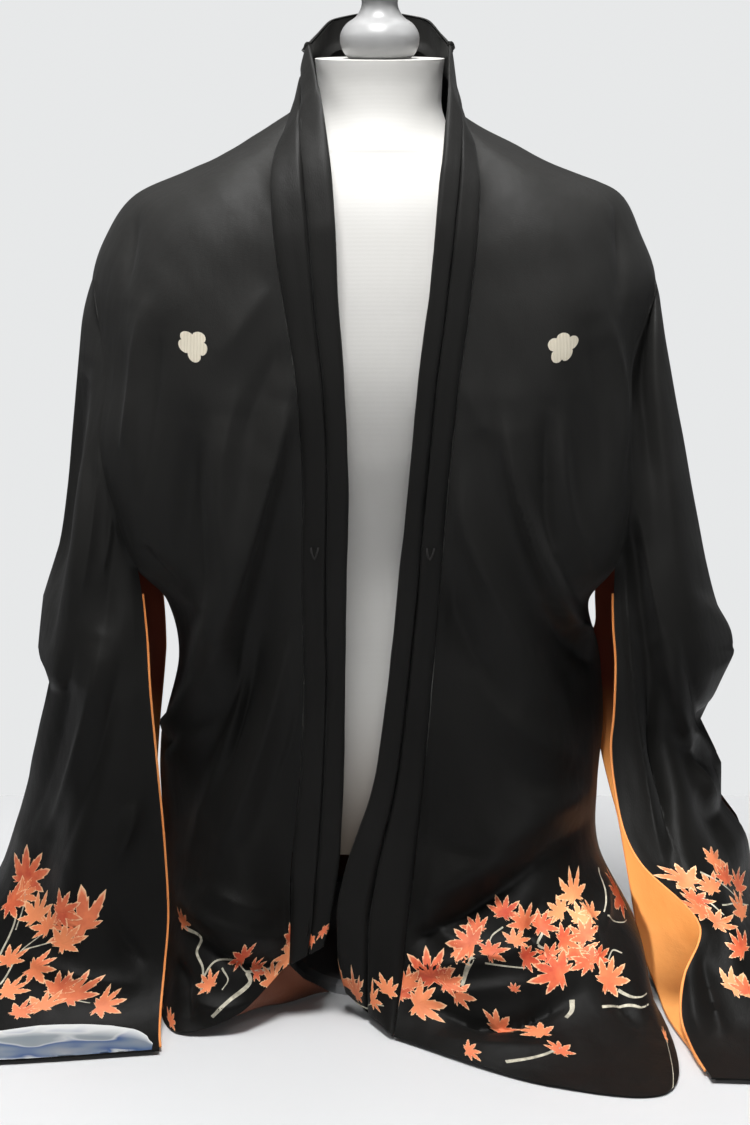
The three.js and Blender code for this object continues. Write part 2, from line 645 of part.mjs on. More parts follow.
function loopAt(side, panel) {
  const near = (place) => Math.abs(place.point.z - LOOP.z);
  const place = necklineOf(panel).reduce((best, next) => (near(next) < near(best) ? next : best));
  const { points, normal } = collarRow(side, place);
  const across = points[2].clone().sub(points[1]).normalize();
  const path = LOOP_PATH.map((step) =>
    points[1].clone()
      .addScaledVector(across, step.across)
      .addScaledVector(normal, step.out + LOOP.away + LOOP.thick / 2)
      .sub(vec(0, 0, step.down)),
  );
  const corners = range(0, 7).map((i) => {
    const angle = (i * Math.PI) / 4;
    return new THREE.Vector2(Math.cos(angle), Math.sin(angle)).multiplyScalar(LOOP.thick / 2);
  });
  const section = new THREE.Shape(corners);
  return new THREE.ExtrudeGeometry(section, { steps: 12, extrudePath: curve(path) });
}

const FINISH = {
  silk: { color: 0x141413, roughness: 0.62, metalness: 0 },
  lining: { color: 0xd9662b, roughness: 0.7, metalness: 0 },
  form: { color: 0xe9e7e2, roughness: 0.75, metalness: 0 },
  knob: { color: 0xf2f2f2, roughness: 0.4, metalness: 0 },
  stand: { color: 0xb9bbbd, roughness: 0.35, metalness: 0.8 },
};

const kimono = new THREE.Group();
const dressForm = new THREE.Group();

function add(group, name, geometry, finish) {
  const mesh = new THREE.Mesh(geometry, new THREE.MeshStandardMaterial(FINISH[finish]));
  mesh.name = name;
  group.add(mesh);
  return mesh;
}

const bodies = { left: bodyPanel("left"), right: bodyPanel("right") };
for (const side of ["left", "right"]) {
  const body = bodies[side];
  const sleeve = sleevePanel(side, body);
  const linings = sleeveLinings(sleeve);
  add(kimono, `body_${side}`, wall(body, CLOTH), "silk");
  add(kimono, `sleeve_${side}`, wall(sleeve, CLOTH), "silk");
  add(kimono, `sleeve_lining_${side}_front`, linings.front, "lining");
  add(kimono, `sleeve_lining_${side}_back`, linings.back, "lining");
  add(kimono, `hem_lining_${side}`, hemLining(body), "lining");
  add(kimono, `loop_${side}`, loopAt(side, body), "silk");
}
add(kimono, "collar", collarBand(bodies.left, bodies.right), "silk");
add(kimono, "front_lining_left", frontLining(bodies.left), "lining");
add(dressForm, "form_torso", formTorso(), "form");
add(dressForm, "neck_knob", turned(KNOB_PROFILE), "knob").position.set(0, 8, NECK_TOP + SEAM);
add(dressForm, "stand_pole", turned(POLE_PROFILE), "stand");
add(dressForm, "stand_base", turned(FOOT_PROFILE), "stand");

const model = new THREE.Group();
model.add(kimono, dressForm);
export default model;
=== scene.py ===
"""A long black kimono, worn open on a limbless dress form: cloth, pattern, light and view.
Tables are in millimetres, with the part's names. The front faces -Y and "left" is the -X side."""
import json
import math

import bpy
import numpy as np
from mathutils import Vector
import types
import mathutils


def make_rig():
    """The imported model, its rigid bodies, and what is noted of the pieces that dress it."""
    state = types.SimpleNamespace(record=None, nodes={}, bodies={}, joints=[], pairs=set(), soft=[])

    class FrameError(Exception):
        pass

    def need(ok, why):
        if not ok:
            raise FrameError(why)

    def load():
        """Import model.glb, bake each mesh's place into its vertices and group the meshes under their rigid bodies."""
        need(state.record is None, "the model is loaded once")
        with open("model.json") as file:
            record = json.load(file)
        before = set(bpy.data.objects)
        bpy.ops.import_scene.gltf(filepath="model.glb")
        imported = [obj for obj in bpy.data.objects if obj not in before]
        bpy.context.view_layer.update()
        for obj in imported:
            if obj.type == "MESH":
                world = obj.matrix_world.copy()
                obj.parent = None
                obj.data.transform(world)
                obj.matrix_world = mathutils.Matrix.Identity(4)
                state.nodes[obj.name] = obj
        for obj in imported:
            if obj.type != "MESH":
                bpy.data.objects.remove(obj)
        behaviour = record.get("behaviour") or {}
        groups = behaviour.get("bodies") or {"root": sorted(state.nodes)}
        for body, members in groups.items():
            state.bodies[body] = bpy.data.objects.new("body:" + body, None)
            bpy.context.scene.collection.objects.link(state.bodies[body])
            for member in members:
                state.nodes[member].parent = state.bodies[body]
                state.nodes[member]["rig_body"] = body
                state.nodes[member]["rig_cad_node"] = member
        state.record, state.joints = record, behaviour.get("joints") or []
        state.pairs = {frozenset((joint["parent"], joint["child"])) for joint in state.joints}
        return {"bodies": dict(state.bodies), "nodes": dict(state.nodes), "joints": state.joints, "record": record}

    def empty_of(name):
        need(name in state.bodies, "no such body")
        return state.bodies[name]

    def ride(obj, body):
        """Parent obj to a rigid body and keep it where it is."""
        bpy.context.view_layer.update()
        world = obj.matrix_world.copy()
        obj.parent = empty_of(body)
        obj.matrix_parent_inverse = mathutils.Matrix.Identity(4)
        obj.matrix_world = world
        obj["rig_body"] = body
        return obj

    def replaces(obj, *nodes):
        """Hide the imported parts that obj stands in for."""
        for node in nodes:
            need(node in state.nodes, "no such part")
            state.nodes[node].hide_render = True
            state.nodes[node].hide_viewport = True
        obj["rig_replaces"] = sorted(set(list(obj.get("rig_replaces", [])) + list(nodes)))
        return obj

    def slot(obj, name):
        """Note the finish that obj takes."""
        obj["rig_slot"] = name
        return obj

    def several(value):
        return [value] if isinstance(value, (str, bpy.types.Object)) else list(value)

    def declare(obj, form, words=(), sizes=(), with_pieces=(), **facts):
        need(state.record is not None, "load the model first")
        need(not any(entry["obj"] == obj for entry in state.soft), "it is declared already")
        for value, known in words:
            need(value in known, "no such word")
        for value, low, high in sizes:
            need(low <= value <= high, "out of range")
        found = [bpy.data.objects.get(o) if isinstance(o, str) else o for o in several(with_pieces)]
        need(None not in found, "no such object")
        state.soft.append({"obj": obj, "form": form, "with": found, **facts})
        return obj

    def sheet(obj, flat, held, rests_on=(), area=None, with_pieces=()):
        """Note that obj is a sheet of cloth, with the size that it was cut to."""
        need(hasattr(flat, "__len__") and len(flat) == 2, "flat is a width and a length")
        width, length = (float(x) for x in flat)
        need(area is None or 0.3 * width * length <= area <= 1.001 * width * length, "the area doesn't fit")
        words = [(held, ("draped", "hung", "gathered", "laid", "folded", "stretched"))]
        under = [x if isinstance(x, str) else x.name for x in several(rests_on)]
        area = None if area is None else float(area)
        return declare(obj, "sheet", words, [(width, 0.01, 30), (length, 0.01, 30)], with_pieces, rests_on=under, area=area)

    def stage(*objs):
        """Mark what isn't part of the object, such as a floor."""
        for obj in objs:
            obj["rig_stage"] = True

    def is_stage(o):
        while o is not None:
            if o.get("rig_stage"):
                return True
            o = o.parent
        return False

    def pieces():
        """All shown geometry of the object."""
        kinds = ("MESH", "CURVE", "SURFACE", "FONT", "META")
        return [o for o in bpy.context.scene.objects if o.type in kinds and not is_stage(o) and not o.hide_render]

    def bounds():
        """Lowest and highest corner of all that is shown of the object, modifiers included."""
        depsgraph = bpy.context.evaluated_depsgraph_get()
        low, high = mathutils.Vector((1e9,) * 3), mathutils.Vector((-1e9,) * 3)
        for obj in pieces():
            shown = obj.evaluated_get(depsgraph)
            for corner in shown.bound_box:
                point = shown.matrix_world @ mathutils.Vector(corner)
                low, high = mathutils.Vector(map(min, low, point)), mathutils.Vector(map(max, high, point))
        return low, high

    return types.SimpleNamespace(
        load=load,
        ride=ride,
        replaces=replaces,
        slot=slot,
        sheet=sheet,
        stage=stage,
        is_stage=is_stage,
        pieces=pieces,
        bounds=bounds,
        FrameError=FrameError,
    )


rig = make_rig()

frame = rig.load()
cad_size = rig.bounds()
rng = np.random.default_rng(7)

# Driving sizes
CLOTH = 1.6
LINING = 0.8
LINING_GAP = 0.5
COLLAR_CLOTH = 3.0
SEAM = 0.4
COLLAR_SEAM = 0.5
SEAM_STEP = 1.0  # how far the body's edge stands over the sleeve at the armhole seam
LINING_SHOWS = 2
FINER = 8  # cells of the cloth here for each cell of the part's
FORM_CLEARANCE = 5

# The photograph's camera, in millimetres, and its picture in pixels
CAMERA = np.array([-4.0, -2250.0, 900.0])
PITCH = math.radians(13)
FOCAL = 2600.0
PICTURE = (750, 1125)


def numbers(text):
    """Rows of numbers, one row to a line"""
    lines = text.strip().split("\n")
    return [[float(v) if "." in v else int(v) for v in line.split()] for line in lines]


def table(heading, text):
    """Rows of numbers with the same names in each row"""
    return [dict(zip(heading.split(), row)) for row in numbers(text)]


def both(left, right, heading=None):
    """The tables of the left and the right side, with a heading or as plain rows"""
    read = numbers if heading is None else lambda text: table(heading, text)
    return {"left": read(left), "right": read(right)}


MOUTH_OPEN = 20
TORSO_BOTTOM = 140
NECK_TOP = 820
NECK_BASE = 745

BODY_HEADING = (
    "zBack zSide zMid zSeam xSideBack xSideFront xMid yBack ySideBack ySideFront yMid steps"
)
BODY = both("""
803 773 758 745 73 74 82 63 18 4 -30 1
788 752 742 724 108 108 106 74 20 -4 -52 1
762 729 720 700 154 153 132 86 24 -10 -76 2
728 703 690 670 210 208 158 95 26 -14 -94 1
694 670 656 640 233 231 168 101 24 -18 -107 1
655 634 624 606 245 244 172 105 14 -22 -117 2
560 560 560 560 240 231 168 107 34 -66 -126 2
500 500 500 500 234 236 168 103 42 -80 -128 2
448 448 448 448 220 225 160 97 38 -88 -127 2
396 396 396 396 203 208 148 92 22 -84 -121 2
350 350 350 350 183 183 138 90 18 -40 -114 2
300 300 300 300 175 174 130 94 20 -32 -110 2
220 220 220 220 191 190 136 108 22 -40 -113 2
130 130 130 130 192 186 140 126 26 -56 -121 2
50 54 78 100 192 184 142 150 34 -96 -136 2
14 20 42 76 192 180 138 192 48 -128 -150 2
2.2 2.4 14 50 192 176 130 240 60 -158 -160 0
""", """
803 773 758 745 65 66 76 63 18 4 -30 1
788 750 742 724 98 98 100 74 20 -4 -52 1
762 727 720 700 152 150 130 86 24 -10 -76 2
728 706 690 670 204 202 152 95 26 -14 -94 1
694 670 656 640 223 221 160 101 24 -18 -107 1
655 634 624 606 236 236 163 105 10 -14 -117 2
560 560 560 560 226 213 158 107 34 -62 -126 2
500 500 500 500 221 212 156 103 42 -78 -128 2
448 448 448 448 212 210 150 97 38 -86 -127 2
396 396 396 396 199 202 142 92 22 -76 -121 2
350 350 350 350 180 181 134 90 18 -38 -114 2
300 300 300 300 192 190 132 94 20 -32 -110 1
240 240 236 236 196 194 136 104 20 -38 -112 1
180 180 172 180 190 189 138 116 20 -48 -117 1
125 125 118 125 190 190 138 128 24 -66 -126 2
56 66 70 80 206 222 136 148 38 -106 -152 1
18 26 32 46 210 226 134 186 54 -156 -176 1
9 12 15 20 210 227 138 214 66 -208 -206 2
2.2 2.4 2.6 4 212 234 140 240 76 -282 -268 0
""", BODY_HEADING)

COLLAR_HEADING = "z xSeam ySeam xEdge yEdge zEdge"
COLLAR = both("""
50 79 -124 48 -118 65
90 78 -117 42 -116 96
141 77 -115 34 -117 143
214 69 -114 31 -118 214
300 65 -115 29 -119 300
396 66 -118 28 -121 396
480 64 -122 26 -126 480
560 70 -123 29 -127 562
620 79 -118 34 -121 626
680 88 -108 36 -110 690
722 91 -88 41 -88 744
745 87 -60 49 -56 790
773 74 4 60 4 832
794 50 50 42 58 852
803 0 63 0 74 860
""", """
4 12 -172 -30 -96 12
22 16 -156 -34 -112 34
40 20 -142 -37 -120 56
90 24 -124 -38 -122 100
141 31 -117 -28 -121 146
214 38 -115 -5 -120 208
300 45 -116 7 -121 300
396 52 -119 16 -123 396
480 58 -123 24 -128 480
560 66 -124 31 -128 564
620 74 -118 40 -122 632
680 81 -108 46 -109 694
722 83 -88 52 -88 748
745 79 -60 57 -56 793
773 66 4 59 4 832
794 46 50 42 58 852
803 0 63 0 74 860
""", COLLAR_HEADING)

SLEEVE_TOP_HEADING = "xRidge xOuter yRidge yOuter belly backBelly"
SLEEVE_TOP = both("""
251 254 -13 -4 0 2
249 262 -44 -6 0 8
252 269 -66 -2 0 14
256 275 -88 0 0 18
262 284 -98 2 2 20
""", """
238 240 -18 -6 0 2
236 249 -48 -8 -16 8
242 261 -62 -4 -14 14
250 272 -74 0 -6 18
258 286 -84 2 2 20
""", SLEEVE_TOP_HEADING)

SLEEVE_HEADING = (
    "zFront zOuter zBack xFront xRidge xOuter xBack yFront yRidge yOuter yBack belly backBelly"
    " mouth steps"
)
SLEEVE = both("""
350 350 350 201 268 299 196 -94 -98 2 20 4 22 8 2
302 302 302 198 277 305 194 -104 -98 2 22 12 22 8 1
286 286 286 197 276 290 195 -106 -92 2 22 16 24 26 2
220 220 220 192 290 306 202 -108 -82 2 24 24 24 40 2
150 150 150 187 306 326 207 -110 -78 2 26 30 26 38 2
90 84 84 185 328 352 210 -114 -78 0 26 34 30 26 2
50 40 32 188 364 390 212 -126 -88 -14 16 34 30 12 2
22 14 6 190 414 448 214 -150 -112 -60 -30 34 20 10 2
9 6 1.8 189 452 490 208 -178 -160 -140 -110 24 12 10 2
5.4 3.6 1.8 186 468 508 190 -203 -226 -228 -200 10 10 4 0
""", """
350 350 350 201 270 298 196 -92 -88 2 26 4 20 8 1
318 318 318 203 282 310 197 -100 -88 2 30 10 18 8 1
303 303 303 203 286 316 192 -104 -84 2 33 12 18 24 1
270 270 270 202 280 300 193 -107 -80 2 34 14 18 36 1
241 241 241 200 272 287 198 -108 -78 2 32 16 20 38 1
200 200 200 205 288 307 204 -109 -78 2 28 20 24 34 1
166 166 166 213 292 308 212 -112 -78 0 24 24 28 30 1
140 142 140 227 308 326 219 -116 -78 -2 18 26 32 24 1
84 86 80 279 326 342 230 -122 -84 -6 8 28 36 14 2
44 42 32 266 362 388 238 -132 -96 -20 -22 30 28 12 2
20 15 6 260 412 448 249 -160 -122 -66 -76 28 20 12 2
9 7 1.8 264 470 518 254 -204 -180 -150 -136 20 8 10 2
5.4 3.6 1.8 273 540 596 277 -260 -266 -262 -258 6 4 4 0
""", SLEEVE_HEADING)

# Large folds in the front view: two ends, sideways bow, half width and height
BODY_FOLDS = both("""
-76 556 -194 190 4 15 10
-82 500 -160 170 12 24 -9
-122 540 -142 350 -4 18 6
-160 530 -172 366 2 14 -7
-202 622 -206 470 2 10 4
-114 200 -104 60 -6 22 6
""", """
104 545 184 318 -8 15 10
86 530 166 280 -10 22 -8
68 550 164 225 -10 24 6
180 590 196 425 4 12 5
158 560 172 420 2 14 -6
58 300 118 120 -10 26 5
""")
SLEEVE_FOLDS = both("""
-252 560 -288 330 -3 8 -7
-214 380 -266 60 -12 18 7
-238 300 -316 70 -8 18 -7
""", """
208 500 254 126 0 9 -8
232 340 320 114 -4 11 -9
228 420 276 200 2 12 5
318 230 360 60 0 14 7
""")
BACK_FOLDS = both("""
-60 620 -40 200 8 26 6
-140 600 -120 180 -8 24 -7
-92 420 -104 60 4 26 8
-30 260 -24 50 2 20 -6
""", """
66 600 48 220 -8 26 6
150 610 122 200 8 24 -7
96 400 112 50 -4 26 8
34 240 26 60 -2 20 -6
""")

SAG = table("fall shift back wave", """
0.4 12 14 0
0.75 26 34 2
1 34 50 3
""")

FORM = table("z halfWidth yFront yBack power", f"""
{NECK_TOP} 55.4 -40 58 2
798 53.4 -40 56.1 2
775 54 -44 55 2
757 64 -52 60 2
742 94 -60 68 2
721 150 -72 80 2
700 188 -82 87 2.1
664 206 -94 92 2.2
620 204 -106 96 2.3
560 186 -116 98 2.3
500 166 -112 93 2.3
440 146 -100 84 2.3
390 138 -92 78 2.3
330 144 -94 80 2.3
260 156 -98 84 2.3
200 160 -98 86 2.3
{TORSO_BOTTOM} 156 -94 82 2.3
""")

KNOB_PROFILE = table("radius z", """
0 0
26 0
31 5
33.5 12
33.5 20
29 28
20 35
16 42
15.5 48
20 56
22 63
19 70
12 75
0 77
""")

SIGN = {"left": -1, "right": 1}

# Creases drawn in the picture: a path through three places, half width in pixels and height in
# millimetres
BODY_CREASES = both("""
293 395 262 500 222 650 8 9.1
224 645 200 695 168 738 9 9.1
197 430 199 520 206 610 14 -10.9
217 430 217 500 224 570 13 7.3
147 300 140 345 125 440 5 3.8
133 395 128 425 122 452 4 3.1
160 330 150 420 140 500 8 -5.6
272 285 245 320 215 362 13 3.8
238 385 228 425 218 470 10 4.2
292 330 262 390 240 450 12 -3.8
287 640 262 740 222 846 10 8.6
307 655 292 735 255 822 8 6.8
300 700 270 790 240 850 9 -7.8
262 640 240 720 205 800 13 -11.3
235 690 215 760 190 850 12 8.6
160 735 174 726 190 716 5 5.6
160 752 172 744 184 736 5 -5.6
166 762 186 742 214 722 6 3.8
142 545 155 570 175 590 9 -8.6
178 888 232 932 304 932 16 10.4
174 910 235 960 308 954 9 -10.4
185 985 215 1008 255 998 12 8.6
172 960 186 985 190 1020 8 -7.2
136 214 130 250 124 288 6 -5.5
250 620 226 690 196 780 12 -7.3
205 880 240 905 290 905 16 7.3
""", """
503 415 530 530 577 634 8 10.1
518 425 549 540 592 622 12 -11.3
460 380 473 408 485 436 9 3.8
550 408 546 490 553 556 12 -11.3
567 408 568 495 594 567 12 8.6
603 313 620 385 622 465 8 6.8
588 330 600 420 603 500 10 -6.8
450 467 472 540 520 643 12 8.6
475 663 515 722 575 762 16 12.3
440 560 470 650 520 720 16 -10.1
575 620 587 632 597 648 6 8.6
545 600 570 640 596 668 8 -8.6
410 760 416 822 402 888 6 5.6
425 740 430 800 420 870 9 -5.6
385 838 398 850 412 848 5 3.1
500 785 540 802 585 792 16 7.3
430 832 480 852 540 832 16 -7.3
402 940 475 908 590 822 12 -15
404 905 475 868 588 780 26 11.7
395 968 470 962 560 935 12 14
420 1000 480 992 545 985 12 9.1
440 1010 505 1024 578 992 6 -13
430 1034 500 1050 580 1046 13 7.2
540 905 532 938 556 962 7 -10
572 900 588 930 598 962 9 11
604 868 606 900 600 935 6 8.6
612 900 640 925 660 935 8 -8.6
345 880 352 940 350 1000 10 7.2
616 205 622 250 620 300 6 -5.5
430 900 440 930 470 945 12 9.1
600 985 630 1010 640 1030 8 -9.1
""")
SLEEVE_CREASES = both("""
113 488 110 533 103 570 5 4.8
103 440 92 520 80 600 6 4.8
122 455 114 540 104 650 10 -5
100 636 80 747 37 836 10 10.9
120 662 98 756 64 856 12 -9.8
139 800 128 830 116 862 9 6.6
75 640 52 740 22 830 8 -7.6
60 655 42 740 14 830 7 5.5
15 945 70 975 145 985 12 5.5
110 905 128 945 150 960 9 -5.5
""", """
627 448 652 590 662 648 6 7.4
662 640 690 742 745 862 8 10.9
682 640 708 730 748 815 9 -9.8
626 556 636 700 664 864 5 7
641 640 653 740 676 850 7 -9.8
690 728 706 740 716 758 4 7.6
688 746 702 760 712 778 4 -7.6
697 765 708 782 716 802 5 6.6
628 250 632 360 628 452 9 -7
632 236 627 270 622 302 5 -6.6
655 300 680 450 704 600 16 5.2
700 600 722 628 728 652 9 6.6
684 955 690 1000 704 1040 7 -8.7
700 950 712 1000 722 1040 8 7.6
""")
CREASE_SAMPLES = 24
DEEPER = 1.4  # how much deeper the part's large folds are here
CRISP = 1.35  # how the cloth falls off from a crease: 2 is round, 1 is a sharp edge


def pictured(points):
    """Where points are in the picture: across, down and how far away"""
    away = points - CAMERA
    depth = away[..., 1] * math.cos(PITCH) - away[..., 2] * math.sin(PITCH)
    up = away[..., 1] * math.sin(PITCH) + away[..., 2] * math.cos(PITCH)
    return (
        PICTURE[0] / 2 + FOCAL * away[..., 0] / depth,
        PICTURE[1] / 2 - FOCAL * up / depth,
        depth,
    )


def spline(points, places):
    """A centripetal Catmull-Rom curve through points, at places counted along the first axis"""
    points = np.asarray(points, float)
    ends = [2 * points[:1] - points[1:2], points, 2 * points[-1:] - points[-2:-1]]
    p = np.concatenate(ends)
    span = np.linalg.norm(np.diff(p, axis=0), axis=-1, keepdims=True)
    span = np.sqrt(np.maximum(span, 1e-8))
    places = np.asarray(places, float)
    i = np.clip(np.floor(places).astype(int), 0, len(points) - 2)
    w = (places - i).reshape(-1, *[1] * (points.ndim - 1))
    x0, x1, x2, x3 = (p[i + k] for k in range(4))
    d0, d1, d2 = (span[i + k] for k in range(3))
    a = x2 - x1 + d1 * ((x1 - x0) / d0 - (x2 - x0) / (d0 + d1))
    b = x2 - x1 + d1 * ((x3 - x2) / d2 - (x3 - x1) / (d1 + d2))
    return x1 + w * (a + w * (3 * (x2 - x1) - 2 * a - b + w * (2 * (x1 - x2) + a + b)))


def places_of(steps):
    """Places along a curve with that many steps in each interval, FINER times over"""
    inside = [i + np.arange(n * FINER) / (n * FINER) for i, n in enumerate(steps) if n]
    return np.concatenate([*inside, [inside[-1].astype(int)[0] + 1]])


def smooth_grid(controls, row_steps, column_cells, straight=None):
    """A sheet through a grid of points. Straight gives the first and last row between which each
    column of points runs in straight lines, and how much of that it has."""
    places = places_of(row_steps[: len(controls) - 1])
    rails = spline(controls, places)
    if straight is not None:
        first, last, share = straight
        i = np.clip(np.floor(places).astype(int), 0, len(controls) - 2)
        lines = mix(controls[i], controls[i + 1], (places - i)[:, None, None])
        within = ((places >= first) & (places <= last))[:, None, None]
        rails = np.where(within, mix(rails, lines, np.array(share)[:, None]), rails)
    grid = spline(rails.transpose(1, 0, 2), places_of(column_cells)).transpose(1, 0, 2)
    starts = np.concatenate([[0], np.cumsum(row_steps)]) * FINER
    return np.ascontiguousarray(grid), starts


def unit(vectors):
    return vectors / np.maximum(np.linalg.norm(vectors, axis=-1, keepdims=True), 1e-9)


def normals_of(grid, turned):
    normal = unit(np.cross(np.gradient(grid, axis=1), np.gradient(grid, axis=0)))
    return -normal if turned else normal


def sheet_of(grid, turned, kept=None, **more):
    """A sheet of cloth: its points, normals, which cells it has, and which way round it lies"""
    if kept is None:
        kept = np.ones((grid.shape[0] - 1, grid.shape[1] - 1), bool)
    return dict(grid=grid, normals=normals_of(grid, turned), turned=turned, kept=kept, **more)


def fold_height(folds, x, y, power=2.0):
    """Height of folds at places (x, y). Each has a path through three places, a half width and
    a height."""
    total = np.zeros_like(x)
    t = np.linspace(0, 1, CREASE_SAMPLES + 1)
    weights = np.array([2 * (t - 0.5) * (t - 1), 4 * t * (1 - t), 2 * t * (t - 0.5)])
    for x0, y0, xm, ym, x1, y1, width, height in folds:
        px = weights.T @ [x0, xm, x1]
        py = weights.T @ [y0, ym, y1]
        near = np.full_like(x, 1e9)
        along = np.zeros_like(x)
        for k in range(CREASE_SAMPLES):
            ex, ey = px[k + 1] - px[k], py[k + 1] - py[k]
            s = ((x - px[k]) * ex + (y - py[k]) * ey) / (ex * ex + ey * ey)
            s = np.clip(s, 0, 1)
            distance = np.hypot(x - px[k] - s * ex, y - py[k] - s * ey)
            closer = distance < near
            near = np.where(closer, distance, near)
            along = np.where(closer, (k + s) / CREASE_SAMPLES, along)
        fade = np.sin(np.pi * np.clip(along, 0.03, 0.97)) ** 0.6
        total += height * fade * np.exp(-((near / width) ** power))
    return total


def bowed(folds):
    """The part's folds, given by two ends and a bow, as paths through three places, and deeper"""
    return [
        [x0, z0, (x0 + x1) / 2 + bow, (z0 + z1) / 2, x1, z1, width, height * DEEPER]
        for x0, z0, x1, z1, bow, width, height in folds
    ]


# Small unevenness of hanging cloth: many faint waves in all directions
RIPPLES = [
    (rng.normal(size=3) * 2 * math.pi / rng.uniform(55, 150), rng.uniform(0, 6.3))
    for _ in range(18)
]


def ripple(points, size=0.1):
    return size * sum(np.sin(points @ wave + phase) for wave, phase in RIPPLES)


def looked_up(rows, key, z):
    """A column of a table at heights z, in which the rows go up"""
    return np.interp(z, [row["z"] for row in rows], [row[key] for row in rows])


def collar_at(side, z):
    return {key: looked_up(COLLAR[side], key, z) for key in COLLAR[side][0]}


def form_size(z):
    return [looked_up(FORM[::-1], key, z) for key in ("halfWidth", "yFront", "yBack", "power")]


def clear_of_form(grid):
    """Moves what lies in the dress form, or too close to it, out to its clearance"""
    half, front, back, power = form_size(grid[..., 2])
    middle, deep = (front + back) / 2, (back - front) / 2
    x = np.abs(grid[..., 0]) / half
    y = np.abs(grid[..., 1] - middle) / deep
    reach = (x**power + y**power) ** (1 / power)
    least = 1 + (FORM_CLEARANCE + CLOTH) / deep
    inside = (reach < least) & (grid[..., 2] > TORSO_BOTTOM) & (grid[..., 2] < NECK_BASE)
    scale = np.where(inside, least / np.maximum(reach, 0.2), 1)
    grid[..., 0] *= scale
    grid[..., 1] = middle + (grid[..., 1] - middle) * scale


def mix(a, b, t):
    return a + (b - a) * t


def circle(sides):
    return np.linspace(0, 2 * math.pi, sides, endpoint=False)


BODY_CELLS = [3, 3, 2, 4, 4]
SIDE_BACK, SIDE_FRONT = 6, 8
ARMHOLE_ROWS = (5, 9)
BACK_POINT = (0.62, 0.14, 0.3)  # a point of the back: its shares of the way to the side
LOWEST = 2.0  # how near the floor the cloth comes
SEAM_RIDGE = 1.4  # half width, in cells, of the body's edge that stands up at the armhole


def body_panel(side):
    sign, turned = SIGN[side], side == "left"
    controls = []
    for row in BODY[side]:
        seam = collar_at(side, row["zSeam"])
        out, deep, down = BACK_POINT
        points = [
            [SEAM / 2, row["yBack"], row["zBack"]],
            [
                row["xSideBack"] * out,
                mix(row["yBack"], row["ySideBack"], deep),
                mix(row["zBack"], row["zSide"], down),
            ],
            [row["xSideBack"], row["ySideBack"], row["zSide"]],
            [row["xSideFront"], row["ySideFront"], row["zSide"]],
            [row["xMid"], row["yMid"], row["zMid"]],
            [seam["xSeam"], seam["ySeam"], row["zSeam"]],
        ]
        controls.append([[sign * x, y, z] for x, y, z in points])
    steps = [row["steps"] for row in BODY[side]]
    grid, starts = smooth_grid(np.array(controls, float), steps, BODY_CELLS)
    top, bottom = (starts[r] for r in ARMHOLE_ROWS)
    normals = normals_of(grid, turned)
    column = np.arange(grid.shape[1]) / FINER
    front = np.clip((column - SIDE_FRONT + 1) / 2, 0, 1)
    back = np.where(column < SIDE_BACK, np.clip(column / 2, 0, 1), 0)
    x, z = grid[..., 0], grid[..., 2]
    across, down, _ = pictured(grid)
    seam_fade = np.clip((column[-1] - column) / 0.5, 0, 1)
    lift = front * fold_height(bowed(BODY_FOLDS[side]), x, z)
    lift += back * fold_height(bowed(BACK_FOLDS[side]), x, z)
    lift += front * seam_fade * fold_height(BODY_CREASES[side], across, down, CRISP)
    lift += ripple(grid) * np.maximum(front * seam_fade, back)
    row = np.arange(len(grid))[:, None]
    at_seam = np.exp(-(((column - SIDE_FRONT) * FINER / SEAM_RIDGE) ** 2))
    lift += SEAM_STEP * at_seam * ((row >= top) & (row <= bottom))
    grid = grid + normals * lift[..., None]
    clear_of_form(grid)
    grid[..., 2] = np.maximum(grid[..., 2], LOWEST)
    sheet = sheet_of(grid, turned, starts=starts, top=top, bottom=bottom)
    sheet["kept"][top:bottom, SIDE_BACK * FINER : SIDE_FRONT * FINER] = False
    sheet["normals"][:, 0, 0] = 0
    sheet["normals"][:, 0] = unit(sheet["normals"][:, 0])
    return sheet


SLEEVE_CELLS = [3, 3, 2, 1, 2, 3]
RIDGE_COLUMN, MOUTH_COLUMN = 6, 8
# Rows between which the outer edge has corners, and how much of them each column of points has
CORNER_SHARE = [0, 0, 0.35, 0.9, 0.9, 0.35, 0]
CORNERS = {"left": (4, 8, CORNER_SHARE), "right": (6, 12, CORNER_SHARE)}
SEAM_BLEND = 1.2  # cells of the part's over which a sleeve comes up to its seam
SEAM_UNDER = 1.4  # how far below the body's edge the sleeve's lies, in steps of the seam
TOP_MOUTH = 6
BELLY_DOWN, RIDGE_DOWN = 0.3, 0.8  # shares of the way from the front's height to the outer edge's
BACK_RIPPLE = 1.6
SLEEVE_FADE = 3  # rows from the bottom up, where the two layers lie on each other


def sleeve_section(row, sign):
    def halfway(axis, end, way, bulge=0):
        return mix(row[axis + end], row[axis + way], 0.5) + bulge

    mouth = row["mouth"] / 2
    points = [
        [row["xFront"], row["yFront"], row["zFront"]],
        [
            halfway("x", "Front", "Ridge"),
            halfway("y", "Front", "Ridge", -row["belly"]),
            mix(row["zFront"], row["zOuter"], BELLY_DOWN),
        ],
        [row["xRidge"], row["yRidge"], mix(row["zFront"], row["zOuter"], RIDGE_DOWN)],
        [row["xOuter"], row["yOuter"] - mouth, row["zOuter"]],
        [row["xOuter"], row["yOuter"] + mouth, row["zOuter"]],
        [
            halfway("x", "Back", "Outer"),
            halfway("y", "Back", "Outer", row["backBelly"]),
            row["zBack"],
        ],
        [row["xBack"], row["yBack"], row["zBack"]],
    ]
    return [[sign * x, y, z] for x, y, z in points]


